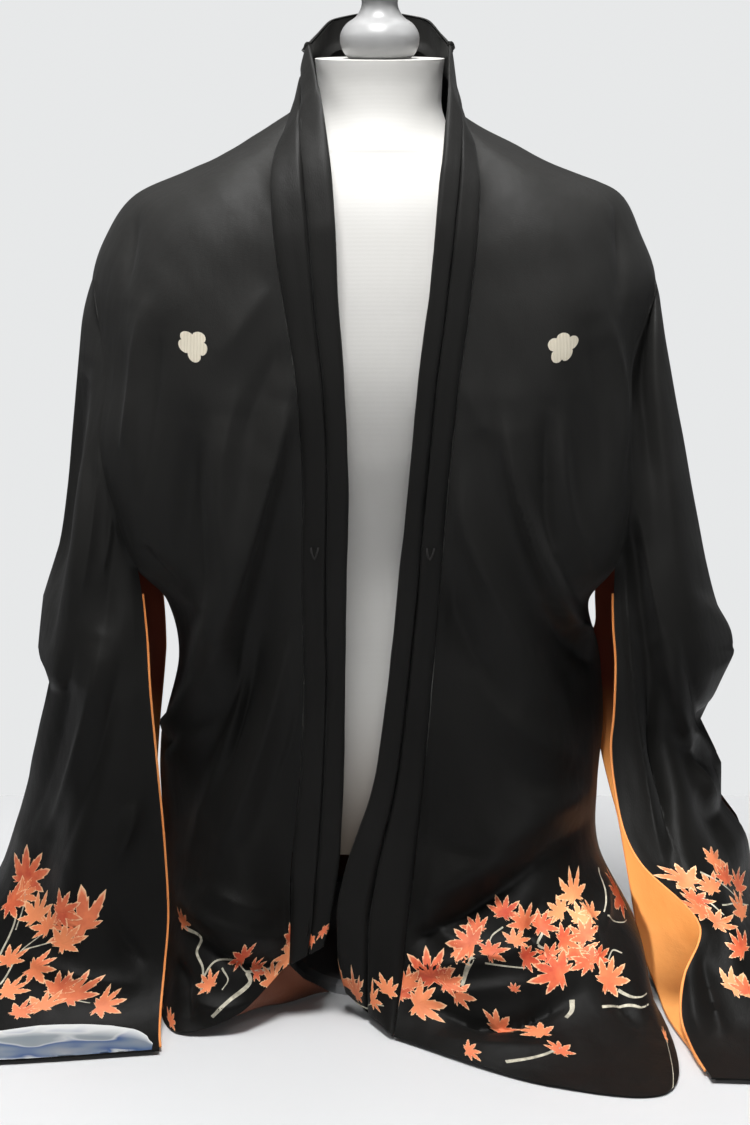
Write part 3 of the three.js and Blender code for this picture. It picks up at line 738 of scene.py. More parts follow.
def sleeve_panel(side, body):
    sign, turned = SIGN[side], side == "right"
    first, last = ARMHOLE_ROWS
    upper = [
        dict(
            top, zFront=row["zSide"], zOuter=row["zSide"], zBack=row["zSide"],
            xFront=row["xSideFront"] + 1, xBack=row["xSideBack"] + 1,
            yFront=row["ySideFront"], yBack=row["ySideBack"],
            mouth=TOP_MOUTH, steps=row["steps"],
        )
        for row, top in zip(BODY[side][first : last + 1], SLEEVE_TOP[side])
    ]
    rows = [*upper, *SLEEVE[side]]
    controls = np.array([sleeve_section(row, sign) for row in rows], float)
    steps = [row["steps"] for row in rows]
    grid, starts = smooth_grid(controls, steps, SLEEVE_CELLS, CORNERS[side])
    mouth = (MOUTH_COLUMN * FINER, (MOUTH_COLUMN + 1) * FINER)
    gap = np.abs(grid[:, mouth[0], 1] - grid[:, mouth[1], 1])
    is_open = (gap[:-1] > MOUTH_OPEN) & (gap[1:] > MOUTH_OPEN)
    kept = np.ones((grid.shape[0] - 1, grid.shape[1] - 1), bool)
    kept[np.ix_(is_open, np.arange(*mouth))] = False
    normals = normals_of(grid, turned)
    column = np.arange(grid.shape[1]) / FINER
    front = np.clip(column / 0.8, 0, 1) * np.clip((MOUTH_COLUMN - column) / 0.5, 0, 1)
    back = np.clip((column - MOUTH_COLUMN - 1) / 0.5, 0, 1)
    back *= np.clip((column[-1] - column) / 0.8, 0, 1)
    across, down, _ = pictured(grid)
    lift = front * fold_height(bowed(SLEEVE_FOLDS[side]), grid[..., 0], grid[..., 2])
    lift += front * fold_height(SLEEVE_CREASES[side], across, down, CRISP)
    lift += ripple(grid) * (front + BACK_RIPPLE * back)
    thin = np.clip((len(grid) - 1 - np.arange(len(grid))) / (SLEEVE_FADE * FINER), 0, 1)
    grid = grid + normals * (lift * thin[:, None])[..., None]
    # The seams: the inner edges go to the armhole's, and the top row to the shoulder's edge
    steps = body["bottom"] - body["top"]
    reach = np.clip(1 - np.arange(grid.shape[1]) / (SEAM_BLEND * FINER), 0, 1) ** 2
    away = np.arange(len(grid)) - steps
    below = np.clip(1 - away / (2 * FINER), 0, 1)
    for edge, columns, weight in [
        (SIDE_FRONT * FINER, 0, reach),
        (SIDE_BACK * FINER, -1, reach[::-1]),
    ]:
        rows_there = slice(body["top"], body["bottom"] + 1)
        seam = body["grid"][rows_there, edge].copy()
        seam -= body["normals"][rows_there, edge] * SEAM_STEP * SEAM_UNDER
        seam[:, 0] += sign * SEAM
        shift = np.zeros((len(grid), 3))
        shift[: steps + 1] = seam - grid[: steps + 1, columns]
        shift[steps + 1 :] = shift[steps]
        grid += shift[:, None] * weight[None, :, None] * below[:, None, None]
    shoulder = body["grid"][body["top"], SIDE_BACK * FINER : SIDE_FRONT * FINER + 1]
    spots = np.linspace(SIDE_FRONT - SIDE_BACK, 0, grid.shape[1]) * FINER
    edge = np.stack(
        [np.interp(spots, np.arange(len(shoulder)), shoulder[:, k]) for k in range(3)],
        axis=-1,
    )
    edge[:, 2] -= SEAM
    rise = np.clip(1 - np.arange(len(grid)) / (SEAM_BLEND * FINER), 0, 1) ** 2
    grid += (edge - grid[0]) * rise[:, None, None]
    grid[..., 2] = np.maximum(grid[..., 2], LOWEST)
    return sheet_of(grid, turned, kept, starts=starts, steps=steps)


def lining(panel, rows, columns, showing=(), cut=None):
    """The lining behind some rows and columns of a panel, standing out at the given edges"""
    block = np.ix_(rows, columns)
    depth = CLOTH + LINING_GAP
    grid = panel["grid"][block] - panel["normals"][block] * depth
    for edge, following in showing:
        grid[:, edge] += unit(grid[:, edge] - grid[:, following]) * LINING_SHOWS
    grid[..., 2] = np.maximum(grid[..., 2], LINING_LOWEST)
    kept = panel["kept"][np.ix_(rows[:-1], columns[:-1])].copy()
    if cut is not None:
        kept[cut] = False
    return sheet_of(grid, panel["turned"], kept)


THIN_ROWS = 5  # rows at a sleeve's bottom where its front is too near the back for a lining
# The part's rows from which the linings start, and how far from the hem the hem linings end
HEM_LINING_TOP, HEM_LINING_END, FRONT_LINING_TOP = 12, 3, 13
FRONT_LINING_COLUMN = SIDE_FRONT + 4
LINING_LOWEST = 1.0
SAG_ROWS = 12
SAG_WAVE = 8.4  # the turn, in radians, of the wave along the sagging lining


def sleeve_linings(panel):
    rows = np.arange(panel["steps"] + FINER, len(panel["grid"]) - FINER)
    front = np.arange(0, (MOUTH_COLUMN - 1) * FINER + 1)
    back = np.arange((MOUTH_COLUMN + 2) * FINER, panel["grid"].shape[1])
    thin = np.s_[-THIN_ROWS * FINER :, (RIDGE_COLUMN - 1) * FINER :]
    return {
        "front": lining(panel, rows, front, [(0, 1)], thin),
        "back": lining(panel, rows, back, [(-1, -2)]),
    }


def hem_lining(panel):
    rows = np.arange(panel["starts"][HEM_LINING_TOP], len(panel["grid"]) - HEM_LINING_END * FINER)
    sheet = lining(panel, rows, np.arange(0, SIDE_FRONT * FINER + 1))
    sheet["normals"][:, 0, 0] = 0
    return sheet


def front_lining(panel):
    """The lining behind the left front's lower part, sagging below the lifted hem to the floor"""
    rows = np.arange(panel["starts"][FRONT_LINING_TOP], len(panel["grid"]))
    columns = np.arange(FRONT_LINING_COLUMN * FINER, panel["grid"].shape[1])
    sheet = lining(panel, rows, columns)
    hem = sheet["grid"][-1]
    part = np.linspace(0, 1, len(hem))
    falls = [0] + [row["fall"] for row in SAG]
    sagging = []
    for fall in np.linspace(0, 1, SAG_ROWS + 1)[1:]:
        shift, back, wave = (
            np.interp(fall, falls, [0] + [row[key] for row in SAG])
            for key in ("shift", "back", "wave")
        )
        row = hem.copy()
        row[:, 0] += shift * part
        row[:, 1] += back + wave * np.sin(part * SAG_WAVE)
        row[:, 2] = mix(hem[:, 2], 2, fall)
        sagging.append(row)
    grid = np.concatenate([sheet["grid"], sagging])
    return sheet_of(grid, panel["turned"])


# Across the collar band: how far from seam to edge, and how far the cloth stands out there
COLLAR_ACROSS = [
    [0, 0], [0.04, 2.6], [0.12, 3.6], [0.3, 3.2], [0.44, 2.9], [0.505, 2.2], [0.54, -2.2],
    [0.575, 3.2], [0.64, 4.0], [0.8, 3.6], [0.93, 3.0], [0.985, 1.6], [1, -0.4],
]
COLLAR_SPREAD = 30  # keeps the two numbers of a point of that table of like size in the curve
COLLAR_COLUMNS = 36


def collar_row(side, points, normals):
    place = collar_at(side, points[:, 2])
    edge = np.stack([SIGN[side] * place["xEdge"], place["yEdge"], place["zEdge"]], axis=-1)
    way = edge - points
    way = unit(way - normals * (way * normals).sum(-1, keepdims=True))
    seam = points + way * COLLAR_SEAM
    profile = spline(
        [[across * COLLAR_SPREAD, out, 0] for across, out in COLLAR_ACROSS],
        np.linspace(0, len(COLLAR_ACROSS) - 1, COLLAR_COLUMNS + 1),
    )
    part = (profile[:, 0] / COLLAR_SPREAD)[None, :, None]
    out = profile[:, 1][None, :, None]
    return seam[:, None] + (edge - seam)[:, None] * part + normals[:, None] * out


def softened(values, width):
    """Values along a line, evened out over that many places, with its ends kept"""
    kernel = np.hanning(2 * width + 3)[1:-1]
    kernel /= kernel.sum()
    before = 2 * values[:1] - values[width:0:-1]
    after = 2 * values[-1:] - values[-2 : -width - 2 : -1]
    padded = np.concatenate([before, values, after])
    return np.stack([np.convolve(column, kernel, "valid") for column in padded.T], axis=-1)


def neckline_of(panel):
    """Points and normals from the front hem up to the neck and round to the centre back"""
    points, normals = (
        np.concatenate([panel[key][::-1, -1], panel[key][0, -2::-1]]) for key in ("grid", "normals")
    )
    return points, unit(softened(normals, FINER))


def collar_sheet(bodies):
    rows = {side: collar_row(side, *neckline_of(bodies[side])) for side in bodies}
    middle = (rows["left"][-1:] + rows["right"][-1:]) / 2
    middle[..., 0] = 0
    grid = np.concatenate([rows["left"][:-1], middle, rows["right"][:-1][::-1]])
    for _ in range(2):  # evens out the kinks of the table's straight stretches
        flat = softened(grid.reshape(len(grid), -1), FINER // 2)
        edge_kept = grid[:, :1].copy()
        grid = flat.reshape(grid.shape)
        grid[:, :1] = edge_kept
    grid = grid + normals_of(grid, False) * ripple(grid, 0.07)[..., None]
    grid[..., 2] = np.maximum(grid[..., 2], COLLAR_CLOTH)
    return sheet_of(grid, False)


def strips(number, closed=True):
    """Faces between the rows of a grid of point numbers; each row is closed on itself, or open"""
    following = np.roll(number, -1, axis=1) if closed else number[:, 1:]
    these = number if closed else number[:, :-1]
    faces = np.stack([these[:-1], these[1:], following[1:], following[:-1]], axis=-1)
    return faces.reshape(-1, 4).tolist()


scene = bpy.context.scene


def placed(name, data):
    obj = bpy.data.objects.new(name, data)
    scene.collection.objects.link(obj)
    return obj


def add_mesh(name, points, faces, material, uv=None, values=None):
    """A smooth-shaded mesh from points in millimetres, with a UV map and named point values"""
    mesh = bpy.data.meshes.new(name)
    mesh.from_pydata((np.asarray(points) / 1000).tolist(), [], faces)
    mesh.materials.append(material)
    if uv is not None:
        layer = mesh.uv_layers.new(name="cloth")
        corner = np.zeros(len(mesh.loops), int)
        mesh.loops.foreach_get("vertex_index", corner)
        layer.data.foreach_set("uv", (np.asarray(uv)[corner] / 1000).ravel())
    for key, value in (values or {}).items():
        layer = mesh.attributes.new(key, "FLOAT", "POINT")
        layer.data.foreach_set("value", np.asarray(value, float))
    mesh.shade_smooth()
    obj = placed(name, mesh)
    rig.ride(obj, "root")
    return obj


def cloth_piece(name, sheet, thickness, material):
    """A sheet of cloth with its thickness, and rims where cells are left out"""
    grid, normals, kept = sheet["grid"], sheet["normals"], sheet["kept"]
    rows, columns = grid.shape[:2]
    points = np.concatenate([grid.reshape(-1, 3), (grid - normals * thickness).reshape(-1, 3)])
    number = np.arange(rows * columns).reshape(rows, columns)
    inner = rows * columns
    a, b = number[:-1, :-1], number[:-1, 1:]
    d, e = number[1:, :-1], number[1:, 1:]
    ring = [a, b, e, d]
    faces = [np.stack([corner[kept] for corner in ring], axis=-1)]
    faces.append(faces[0][:, ::-1] + inner)
    wide = np.pad(kept, 1)
    beside = [wide[:-2, 1:-1], wide[1:-1, 2:], wide[2:, 1:-1], wide[1:-1, :-2]]
    for k, neighbour in enumerate(beside):
        rim = kept & ~neighbour
        p, q = ring[k][rim], ring[(k + 1) % 4][rim]
        faces.append(np.stack([q, p, p + inner, q + inner], axis=-1))
    faces = np.concatenate(faces)
    if sheet["turned"]:
        faces = faces[:, ::-1]
    used, faces = np.unique(faces, return_inverse=True)
    faces = faces.reshape(-1, 4)
    steps = np.linalg.norm(np.diff(grid, axis=1), axis=-1)
    u = np.pad(np.cumsum(steps, axis=1), ((0, 0), (1, 0)))
    steps = np.linalg.norm(np.diff(grid, axis=0), axis=-1)
    v = np.pad(np.cumsum(steps, axis=0), ((1, 0), (0, 0)))
    uv = np.tile(np.stack([u, v], axis=-1).reshape(-1, 2), (2, 1))
    obj = add_mesh(name, points[used], faces.tolist(), material, uv[used])
    obj.data.set_sharp_from_angle(angle=math.radians(65))
    return obj


# Materials
def colour(r, g, b):
    return (r, g, b, 1.0)


class Finish:
    """A node material that is built up step by step"""

    def __init__(self, name, **sockets):
        self.material = bpy.data.materials.new(name)
        self.material.use_nodes = True
        self.tree = self.material.node_tree
        self.shader = self.tree.nodes["Principled BSDF"]
        for key, value in sockets.items():
            self.shader.inputs[key.replace("_", " ")].default_value = value

    def node(self, kind, **sockets):
        node = self.tree.nodes.new("ShaderNode" + kind)
        for key, value in sockets.items():
            self.feed(node.inputs[key.replace("_", " ")], value)
        return node

    def feed(self, socket, value):
        if isinstance(value, bpy.types.NodeSocket):
            self.tree.links.new(value, socket)
        else:
            socket.default_value = value

    def place(self, source="UV", stretch=(1, 1, 1)):
        place = self.node("TexCoord").outputs[source]
        mapping = self.node("Mapping", Scale=stretch)
        self.feed(mapping.inputs["Vector"], place)
        return mapping.outputs["Vector"]

    def noise(self, vector, scale, detail=2.0):
        return self.node("TexNoise", Vector=vector, Scale=scale, Detail=detail).outputs["Fac"]

    def wave(self, vector, scale, direction="X", distortion=0.0):
        node = self.node("TexWave", Vector=vector, Scale=scale, Distortion=distortion)
        node.bands_direction = direction
        return node.outputs["Fac"]

    def value(self, name):
        node = self.node("Attribute")
        node.attribute_name = name
        return node.outputs["Fac"]

    def between(self, factor, low, high, start=0.0, end=1.0, kind="LINEAR"):
        """A number that goes from low to high as a factor goes from start to end"""
        limits = dict(From_Min=start, From_Max=end, To_Min=low, To_Max=high)
        node = self.node("MapRange", Value=factor, **limits)
        node.interpolation_type = kind
        return node.outputs["Result"]

    def blend(self, factor, first, second):
        node = self.node("Mix")
        node.data_type = "RGBA"
        self.feed(node.inputs["Factor"], factor)
        self.feed(node.inputs[6], first)
        self.feed(node.inputs[7], second)
        return node.outputs[2]

    def height(self, low, high):
        """A factor that goes from 0 to 1 between two heights in metres"""
        split = self.node("SeparateXYZ", Vector=self.place("Object"))
        return self.between(split.outputs["Z"], 0.0, 1.0, low, high, "SMOOTHSTEP")

    def ramp(self, factor, stops):
        node = self.node("ValToRGB", Fac=factor)
        ramp = node.color_ramp
        while len(ramp.elements) < len(stops):
            ramp.elements.new(0.5)
        for element, (place, tint) in zip(ramp.elements, stops):
            element.position = place
            element.color = colour(*tint)
        return node.outputs["Color"]

    def bump(self, layers):
        """Bumps on each other, each a height, its depth in metres and its strength"""
        normal = None
        for height, depth, strength in layers:
            node = self.node("Bump", Height=height, Distance=depth, Strength=strength)
            if normal is not None:
                self.feed(node.inputs["Normal"], normal)
            normal = node.outputs["Normal"]
        self.feed(self.shader.inputs["Normal"], normal)

    def paint(self, **sockets):
        for key, value in sockets.items():
            self.feed(self.shader.inputs[key.replace("_", " ")], value)
        return self.material


def silk_finish(name, dark, light, sheen=0.03, source="UV", other=None, heights=None):
    """Crepe silk: a fine grain along the weft, small soft wrinkles, a faint sheen, and another
    tone toward the second of two heights: painted light on the black silk, painted shade on the orange lining"""
    finish = Finish(name, Specular_IOR_Level=0.1, Sheen_Weight=sheen, Sheen_Roughness=0.5)
    cloth = finish.place(source)
    grain = finish.noise(finish.place(source, (900, 340, 900)), 1.0, 2.0)
    weave = finish.wave(cloth, 420, "Y", 3.0)
    hang = finish.noise(finish.place("Object", (1, 1, 0.4)), 24, 3.0)
    tone = finish.ramp(finish.noise(cloth, 9, 3.0), [(0.3, dark), (0.75, light)])
    if other is not None:
        tone = finish.blend(finish.height(*heights), tone, colour(*other))
    finish.bump([(hang, 0.005, 0.45), (weave, 0.00015, 0.25), (grain, 0.0003, 0.5)])
    return finish.paint(Base_Color=tone, Roughness=finish.between(grain, 0.4, 0.54))


def mottled(name, scale, stops, rough, detail=3.0, **sockets):
    """Paint or metal with a soft unevenness in its tone and gloss"""
    finish = Finish(name, **sockets)
    cloud = finish.noise(finish.place("Object"), scale, detail)
    tone = finish.ramp(cloud, stops)
    return finish.paint(Base_Color=tone, Roughness=finish.between(cloud, *rough))


# Painted light: the black is lighter on the shoulders and chest and darkest toward the hem, standing in for the
# overhead light falling off downward
silk = silk_finish(
    "black_silk", (0.0035, 0.0034, 0.003), (0.0065, 0.0062, 0.0056),
    other=(0.0185, 0.0182, 0.0172), heights=(0.12, 0.66),
)
# Painted light: the collar is lighter toward the neck and darker toward the hem, like the body's black
collar_silk = silk_finish(
    "collar_silk", (0.005, 0.0048, 0.0043), (0.009, 0.0086, 0.008),
    other=(0.0135, 0.0133, 0.0126), heights=(0.2, 0.9),
)
loop_silk = silk_finish(
    "loop_silk", (0.012, 0.0116, 0.011), (0.02, 0.019, 0.018), source="Object"
)
# Painted shade: the sleeves' lining is dark red-brown above 0.27 m, where it is shut in under the arm, and orange
# below
orange = silk_finish(
    "orange_lining", (0.88, 0.34, 0.085), (0.94, 0.44, 0.14), 0.0,
    other=(0.13, 0.028, 0.014), heights=(0.17, 0.27),
)
# Painted shade: the hem linings are the orange lining darkened to a deep brown, for the shade inside the hem
shaded_hem_lining = silk_finish("hem_lining", (0.10, 0.032, 0.016), (0.16, 0.052, 0.026))
piping_silk = silk_finish("piping", (0.80, 0.24, 0.06), (0.92, 0.38, 0.13), 0.05)

finish = Finish("painted_leaf", Specular_IOR_Level=0.4)
blot = finish.noise(finish.place("Object"), 75, 3.0)
reds = finish.between(blot, -0.5, 1.3)
tint = finish.blend(reds, colour(0.50, 0.040, 0.018), colour(0.84, 0.20, 0.075))
tint = finish.blend(finish.value("tone"), tint, colour(0.94, 0.37, 0.15))
rim = finish.between(finish.value("edge"), -5.2, 1.0)
leaf = finish.paint(
    Base_Color=finish.blend(rim, tint, colour(0.92, 0.60, 0.35)),
    Roughness=finish.between(blot, 0.5, 0.7),
)
twig = mottled(
    "painted_twig", 210, [(0.3, (0.27, 0.25, 0.19)), (0.7, (0.62, 0.58, 0.46))], (0.5, 0.7),
    Specular_IOR_Level=0.4,
)

WATER = [
    (0.3, (0.20, 0.215, 0.23)), (0.45, (0.11, 0.145, 0.20)), (0.54, (0.026, 0.062, 0.16)),
    (0.58, (0.34, 0.355, 0.365)), (0.62, (0.18, 0.205, 0.22)), (0.8, (0.13, 0.16, 0.19)),
]
finish = Finish("painted_stream", Specular_IOR_Level=0.4)
wash = finish.noise(finish.place("Object", (1, 2.2, 1)), 16, 2.0)
line = finish.between(finish.value("line"), -1.2, 1.0)
stream = finish.paint(
    Base_Color=finish.blend(line, finish.ramp(wash, WATER), colour(0.62, 0.63, 0.62)),
    Roughness=finish.between(wash, 0.5, 0.65),
)

finish = Finish("satin_stitch", Specular_IOR_Level=0.5, Sheen_Weight=0.3)
stitch = finish.wave(finish.place("Object", (1, 1, 0.4)), 260, "X", 1.5)
finish.bump([(stitch, 0.0006, 0.5)])
# Painted shade: the thread is darker where the stitch bump is low, in the grooves between stitches
motif = finish.paint(
    Base_Color=finish.ramp(stitch, [(0.0, (0.55, 0.48, 0.36)), (0.6, (0.82, 0.76, 0.62))]),
    Roughness=finish.between(stitch, 0.35, 0.55),
)

finish = Finish("form_jersey", Specular_IOR_Level=0.3, Sheen_Weight=0.25)
knit = finish.wave(finish.place("Object"), 300, "Z", 1.0)
mottle = finish.noise(finish.place("Object"), 9, 3.0)
finish.bump([(knit, 0.00015, 0.25)])
white = finish.ramp(mottle, [(0.25, (0.56, 0.55, 0.525)), (0.75, (0.60, 0.59, 0.57))])
# Painted shade and painted reflection: the jersey darkens to a warm brown from 0.31 m down to 0.10 m, for the shade
# low in the opening and the orange lining's reflected light
jersey = finish.paint(
    Base_Color=finish.blend(finish.height(0.10, 0.31), colour(0.22, 0.165, 0.12), white),
    Roughness=finish.between(knit, 0.7, 0.85),
)

knob_paint = mottled(
    "knob_paint", 60, [(0.2, (0.28, 0.28, 0.28)), (0.8, (0.31, 0.31, 0.31))], (0.3, 0.45), 2.0,
    Specular_IOR_Level=0.5,
)
metal = mottled(
    "stand_metal", 45, [(0.2, (0.40, 0.41, 0.42)), (0.8, (0.52, 0.53, 0.54))], (0.28, 0.45),
    Metallic=0.85,
)

# The cloth
bodies = {side: body_panel(side) for side in ("left", "right")}
sleeves = {side: sleeve_panel(side, bodies[side]) for side in bodies}
cloth = {}


def dress(name, sheet, thickness, material, flat, rests_on, area=None):
    obj = cloth_piece(f"{name}_cloth", sheet, thickness, material)
    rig.replaces(obj, name)
    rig.slot(obj, name)
    cloth[name] = dict(obj=obj, flat=flat, held="hung", rests_on=rests_on, area=area)


for side in bodies:
    linings = sleeve_linings(sleeves[side])
    body, sleeve = f"body_{side}", f"sleeve_{side}"
    dress(body, bodies[side], CLOTH, silk, (0.46, 0.88), ["form_torso"])
    dress(sleeve, sleeves[side], CLOTH, silk, (0.46, 0.68), [body], 0.27)
    for face in linings:
        name = f"sleeve_lining_{side}_{face}"
        flat = (0.18, 0.41) if face == "front" else (0.17, 0.41)
        dress(name, linings[face], LINING, orange, flat, [sleeve])
    name = f"hem_lining_{side}"
    dress(name, hem_lining(bodies[side]), LINING, shaded_hem_lining, (0.26, 0.28), [body])
collar = collar_sheet(bodies)
dress("collar", collar, COLLAR_CLOTH, collar_silk, (0.052, 1.95), ["form_torso"])
left_front = front_lining(bodies["left"])
dress("front_lining_left", left_front, LINING, shaded_hem_lining, (0.06, 0.20), ["body_left"])


# Pieces that lie on a panel
def surface(panel, rows, columns, lift):
    """Points over a panel at fractional rows and columns"""
    grid, normals = panel["grid"], panel["normals"]
    rows = np.clip(rows, 0, grid.shape[0] - 1.001)
    columns = np.clip(columns, 0, grid.shape[1] - 1.001)
    r, c = rows.astype(int), columns.astype(int)
    s, t = (rows - r)[..., None], (columns - c)[..., None]

    def at(values):
        top = mix(values[r, c], values[r, c + 1], t)
        return mix(top, mix(values[r + 1, c], values[r + 1, c + 1], t), s)

    return at(grid) + at(normals) * lift


def seen_at(panel, x, y, columns):
    """The row and column of a panel that the picture shows at a place"""
    across, down, _ = pictured(panel["grid"])
    first, last = columns
    facing = (panel["normals"] * (CAMERA - panel["grid"])).sum(-1) > 0
    distance = np.hypot(across - x, down - y) + np.where(facing, 0, 400)
    distance[:, :first] = distance[:, last + 1 :] = 1e6
    r, c = np.unravel_index(np.argmin(distance), distance.shape)
    r = min(max(r, 1), len(across) - 2)
    c = min(max(c, 1), across.shape[1] - 2)
    change = np.array(
        [[v[r, c + 1] - v[r, c - 1], v[r + 1, c] - v[r - 1, c]] for v in (across, down)]
    ) / 2
    if abs(np.linalg.det(change)) < 0.5:
        return float(r), float(c)
    move = np.linalg.solve(change, [x - across[r, c], y - down[r, c]])
    move = np.clip(move, -1.5, 1.5)
    return r + move[1], c + move[0]


def cell_size(panel, r, c):
    """Millimetres to a row and to a column of a panel near a place"""
    grid = panel["grid"]
    r = int(min(max(r, 1), len(grid) - 2))
    c = int(min(max(c, 1), grid.shape[1] - 2))
    down = np.linalg.norm(grid[r + 1, c] - grid[r - 1, c]) / 2
    across = np.linalg.norm(grid[r, c + 1] - grid[r, c - 1]) / 2
    return max(down, 0.8), max(across, 0.8)


LOBES = [(90, 1.0), (52, 0.94), (128, 0.94), (12, 0.8), (168, 0.8), (-32, 0.5), (212, 0.5)]
LOBE_HALF = 25  # degrees
TEETH = [(0.26, 0.82), (0.36, 0.68), (0.52, 0.68), (0.6, 0.54)]
NOTCH = (0.74, 0.4)
STALK = (251, 0.12)
LEAF_RINGS = [0.0, 0.25, 0.5, 0.72, 0.88, 1.0]
LEAF_HEIGHTS = [0.3, 0.38, 0.46, 0.54]  # leaves that cross lie on each other
LEAF_SCALE = 1.45


def leaf_outline():
    """A maple leaf's edge as angles and distances: pointed lobes with small teeth"""
    places = [STALK, *LOBES]
    for angle, length in LOBES:
        for turn in (-LOBE_HALF, LOBE_HALF):
            places += [(angle + turn * part, out * length) for part, out in TEETH]
            places.append((angle + turn * NOTCH[0], NOTCH[1]))
    places = sorted((angle % 360, out) for angle, out in places)
    return np.radians([angle for angle, _ in places]), np.array([out for _, out in places])


LEAF_EDGE = leaf_outline()


class Pattern:
    """Painted figures on one panel, gathered into one mesh"""

    def __init__(self, panel):
        self.panel, self.points, self.faces, self.values = panel, [], [], []
        self.count = 0

    def add(self, grid, values, closed):
        """A strip of rings of points; each ring is closed on itself, or open"""
        rings, across = grid.shape[:2]
        number = self.count + np.arange(rings * across).reshape(rings, across)
        self.faces += strips(number, closed)
        self.points.append(grid.reshape(-1, 3))
        self.values.append(np.broadcast_to(values, grid.shape[:2]).ravel())
        self.count += rings * across

    def height(self):
        return LEAF_HEIGHTS[len(self.points) % len(LEAF_HEIGHTS)]

    def leaf(self, row, column, size, turn, edge=LEAF_EDGE):
        angles, out = edge
        down, across = cell_size(self.panel, row, column)
        wobble = 1 + 0.1 * np.sin(3 * angles + turn)
        rings = np.array(LEAF_RINGS)[:, None]
        reach = rings * size * out * wobble
        x, y = reach * np.cos(angles + turn), reach * np.sin(angles + turn)
        flip = -1 if self.panel["turned"] else 1
        points = surface(self.panel, row - y / down, column + flip * x / across, self.height())
        self.add(points, np.broadcast_to(rings, x.shape), True)

    def ribbon(self, places, half_width, lift=0.3, across=2):
        """A brush stroke through places (row, column), with a half width in millimetres at each"""
        places = np.array(places, float)
        count = max(8, 6 * len(places))
        spots = np.linspace(0, len(places) - 1, count)
        line = spline(np.pad(places, ((0, 0), (0, 1))), spots)[:, :2]
        widths = np.interp(spots, np.arange(len(places)), half_width)
        way = np.gradient(line, axis=0)
        lines = []
        for part in np.linspace(-1, 1, across + 1):
            strip = []
            for (r, c), (dr, dc), width in zip(line, way, widths):
                down, over = cell_size(self.panel, r, c)
                step = np.array([-dc * over, dr * down])
                step *= part * width / max(np.linalg.norm(step), 1e-6)
                strip.append((r + step[0] / down, c + step[1] / over))
            lines.append(strip)
        grid = np.array(lines).transpose(1, 0, 2)
        points = surface(self.panel, grid[..., 0], grid[..., 1], lift)
        part = np.abs(np.linspace(-1, 1, across + 1))[None]
        self.add(points, np.broadcast_to(part, points.shape[:2]), False)

    def made(self, name, material, key, tones=None):
        values = {key: np.concatenate(self.values)}
        if tones is not None:
            values["tone"] = tones
        return add_mesh(name, np.concatenate(self.points), self.faces, material, None, values)


FRONT = {
    "body": (SIDE_FRONT * FINER, 16 * FINER),
    "sleeve": (0, MOUTH_COLUMN * FINER),
    "collar": (1, COLLAR_COLUMNS - 2),
}


def leaves_in(text):
    """Leaves in the picture, four numbers each: place, size in millimetres, turn in degrees"""
    values = [v for row in numbers(text) for v in row]
    return [values[k : k + 4] for k in range(0, len(values), 4)]


LEAVES = {
    "sleeve_left": leaves_in("""
25 880 24 20  10 902 18 80  36 918 19 -30  60 912 17 60  82 928 27 -50
62 944 17 30  8 962 15 0  34 968 17 90  6 992 15 40  68 998 22 10
100 1006 16 80  42 1008 15 -20  22 895 15 50  48 928 15 -60  56 990 15 20
18 1014 13 30
"""),
    "body_left": leaves_in("""
183 922 11 60  243 958 16 -40  298 936 13 30  290 955 14 -70  313 944 11 10
272 984 14 20  210 986 11 -30  172 1022 13 50  255 972 11 90
"""),
    "body_right": leaves_in("""
347 986 17 -40  394 992 14 20  418 1004 19 80  432 978 21 -20  455 994 13 50
503 914 13 10  472 944 16 -60  489 952 14 30  457 951 12 90  524 925 15 -20
525 957 12 60  574 896 17 0  561 912 13 -50  580 920 14 40  562 940 13 80
585 938 15 -10  575 955 16 30  560 974 21 -70  596 960 13 20  606 981 18 60
540 926 13 70  549 956 12 -20  592 915 13 10  445 984 14 60  478 930 12 -50
514 942 12 30  590 962 14 -70  408 985 13 0  514 990 5 10  500 1030 16 40
541 1034 15 -30  468 1051 10 80  560 1052 12 0
"""),
    "sleeve_right": leaves_in("""
713 862 16 70  726 880 15 20  689 882 18 -40  695 899 13 60  712 889 14 0
738 888 14 40  705 911 17 -60  716 922 13 80  742 914 17 10  742 950 15 -30
733 988 15 50  747 992 13 20
"""),
    "collar": leaves_in("""
343 984 14 -40  356 994 12 30  372 1000 9 80  388 992 11 10  312 938 8 20
323 930 7 -50
"""),
}
# Twigs in the picture: half width in millimetres, then places
TWIGS = {
    "sleeve_left": numbers("""
1.2 0 955 10 935 16 915 10 902
1.0 0 985 22 950 46 931
0.8 16 930 24 905 26 885
0.8 22 950 52 942 72 936
0.7 45 1010 66 1000 90 1003
"""),
    "body_left": numbers("""
1.6 185 927 202 938 197 952 203 968 201 990
1.1 203 978 216 961 235 961 246 972
1.0 246 972 272 968 300 962
2.4 247 972 250 982 230 1000 212 1017
0.8 222 968 228 980 222 990
"""),
    "body_right": numbers("""
2.4 473 957 466 972 462 986
0.9 485 963 505 966 526 968
0.8 503 927 492 936 488 948
1.2 543 932 538 944 548 950 556 958
1.0 598 868 604 886 604 912
0.8 597 955 606 962 612 950 622 953
1.3 618 990 632 997 646 995
2.4 572 1000 572 1010 566 1018
1.6 602 1007 624 1006 650 1005
1.2 376 1010 386 1006 396 1000
1.6 506 1062 532 1058 562 1048
0.8 608 915 616 922 628 919
"""),
    "sleeve_right": numbers("""
1.0 700 872 716 880 735 896
1.0 690 893 706 900 724 915
0.8 722 905 736 903 748 905
0.8 730 975 738 984 748 982
"""),
    "collar": numbers("""
0.8 352 1003 366 1008 384 1006
"""),
}
panels = {f"body_{side}": panel for side, panel in bodies.items()}
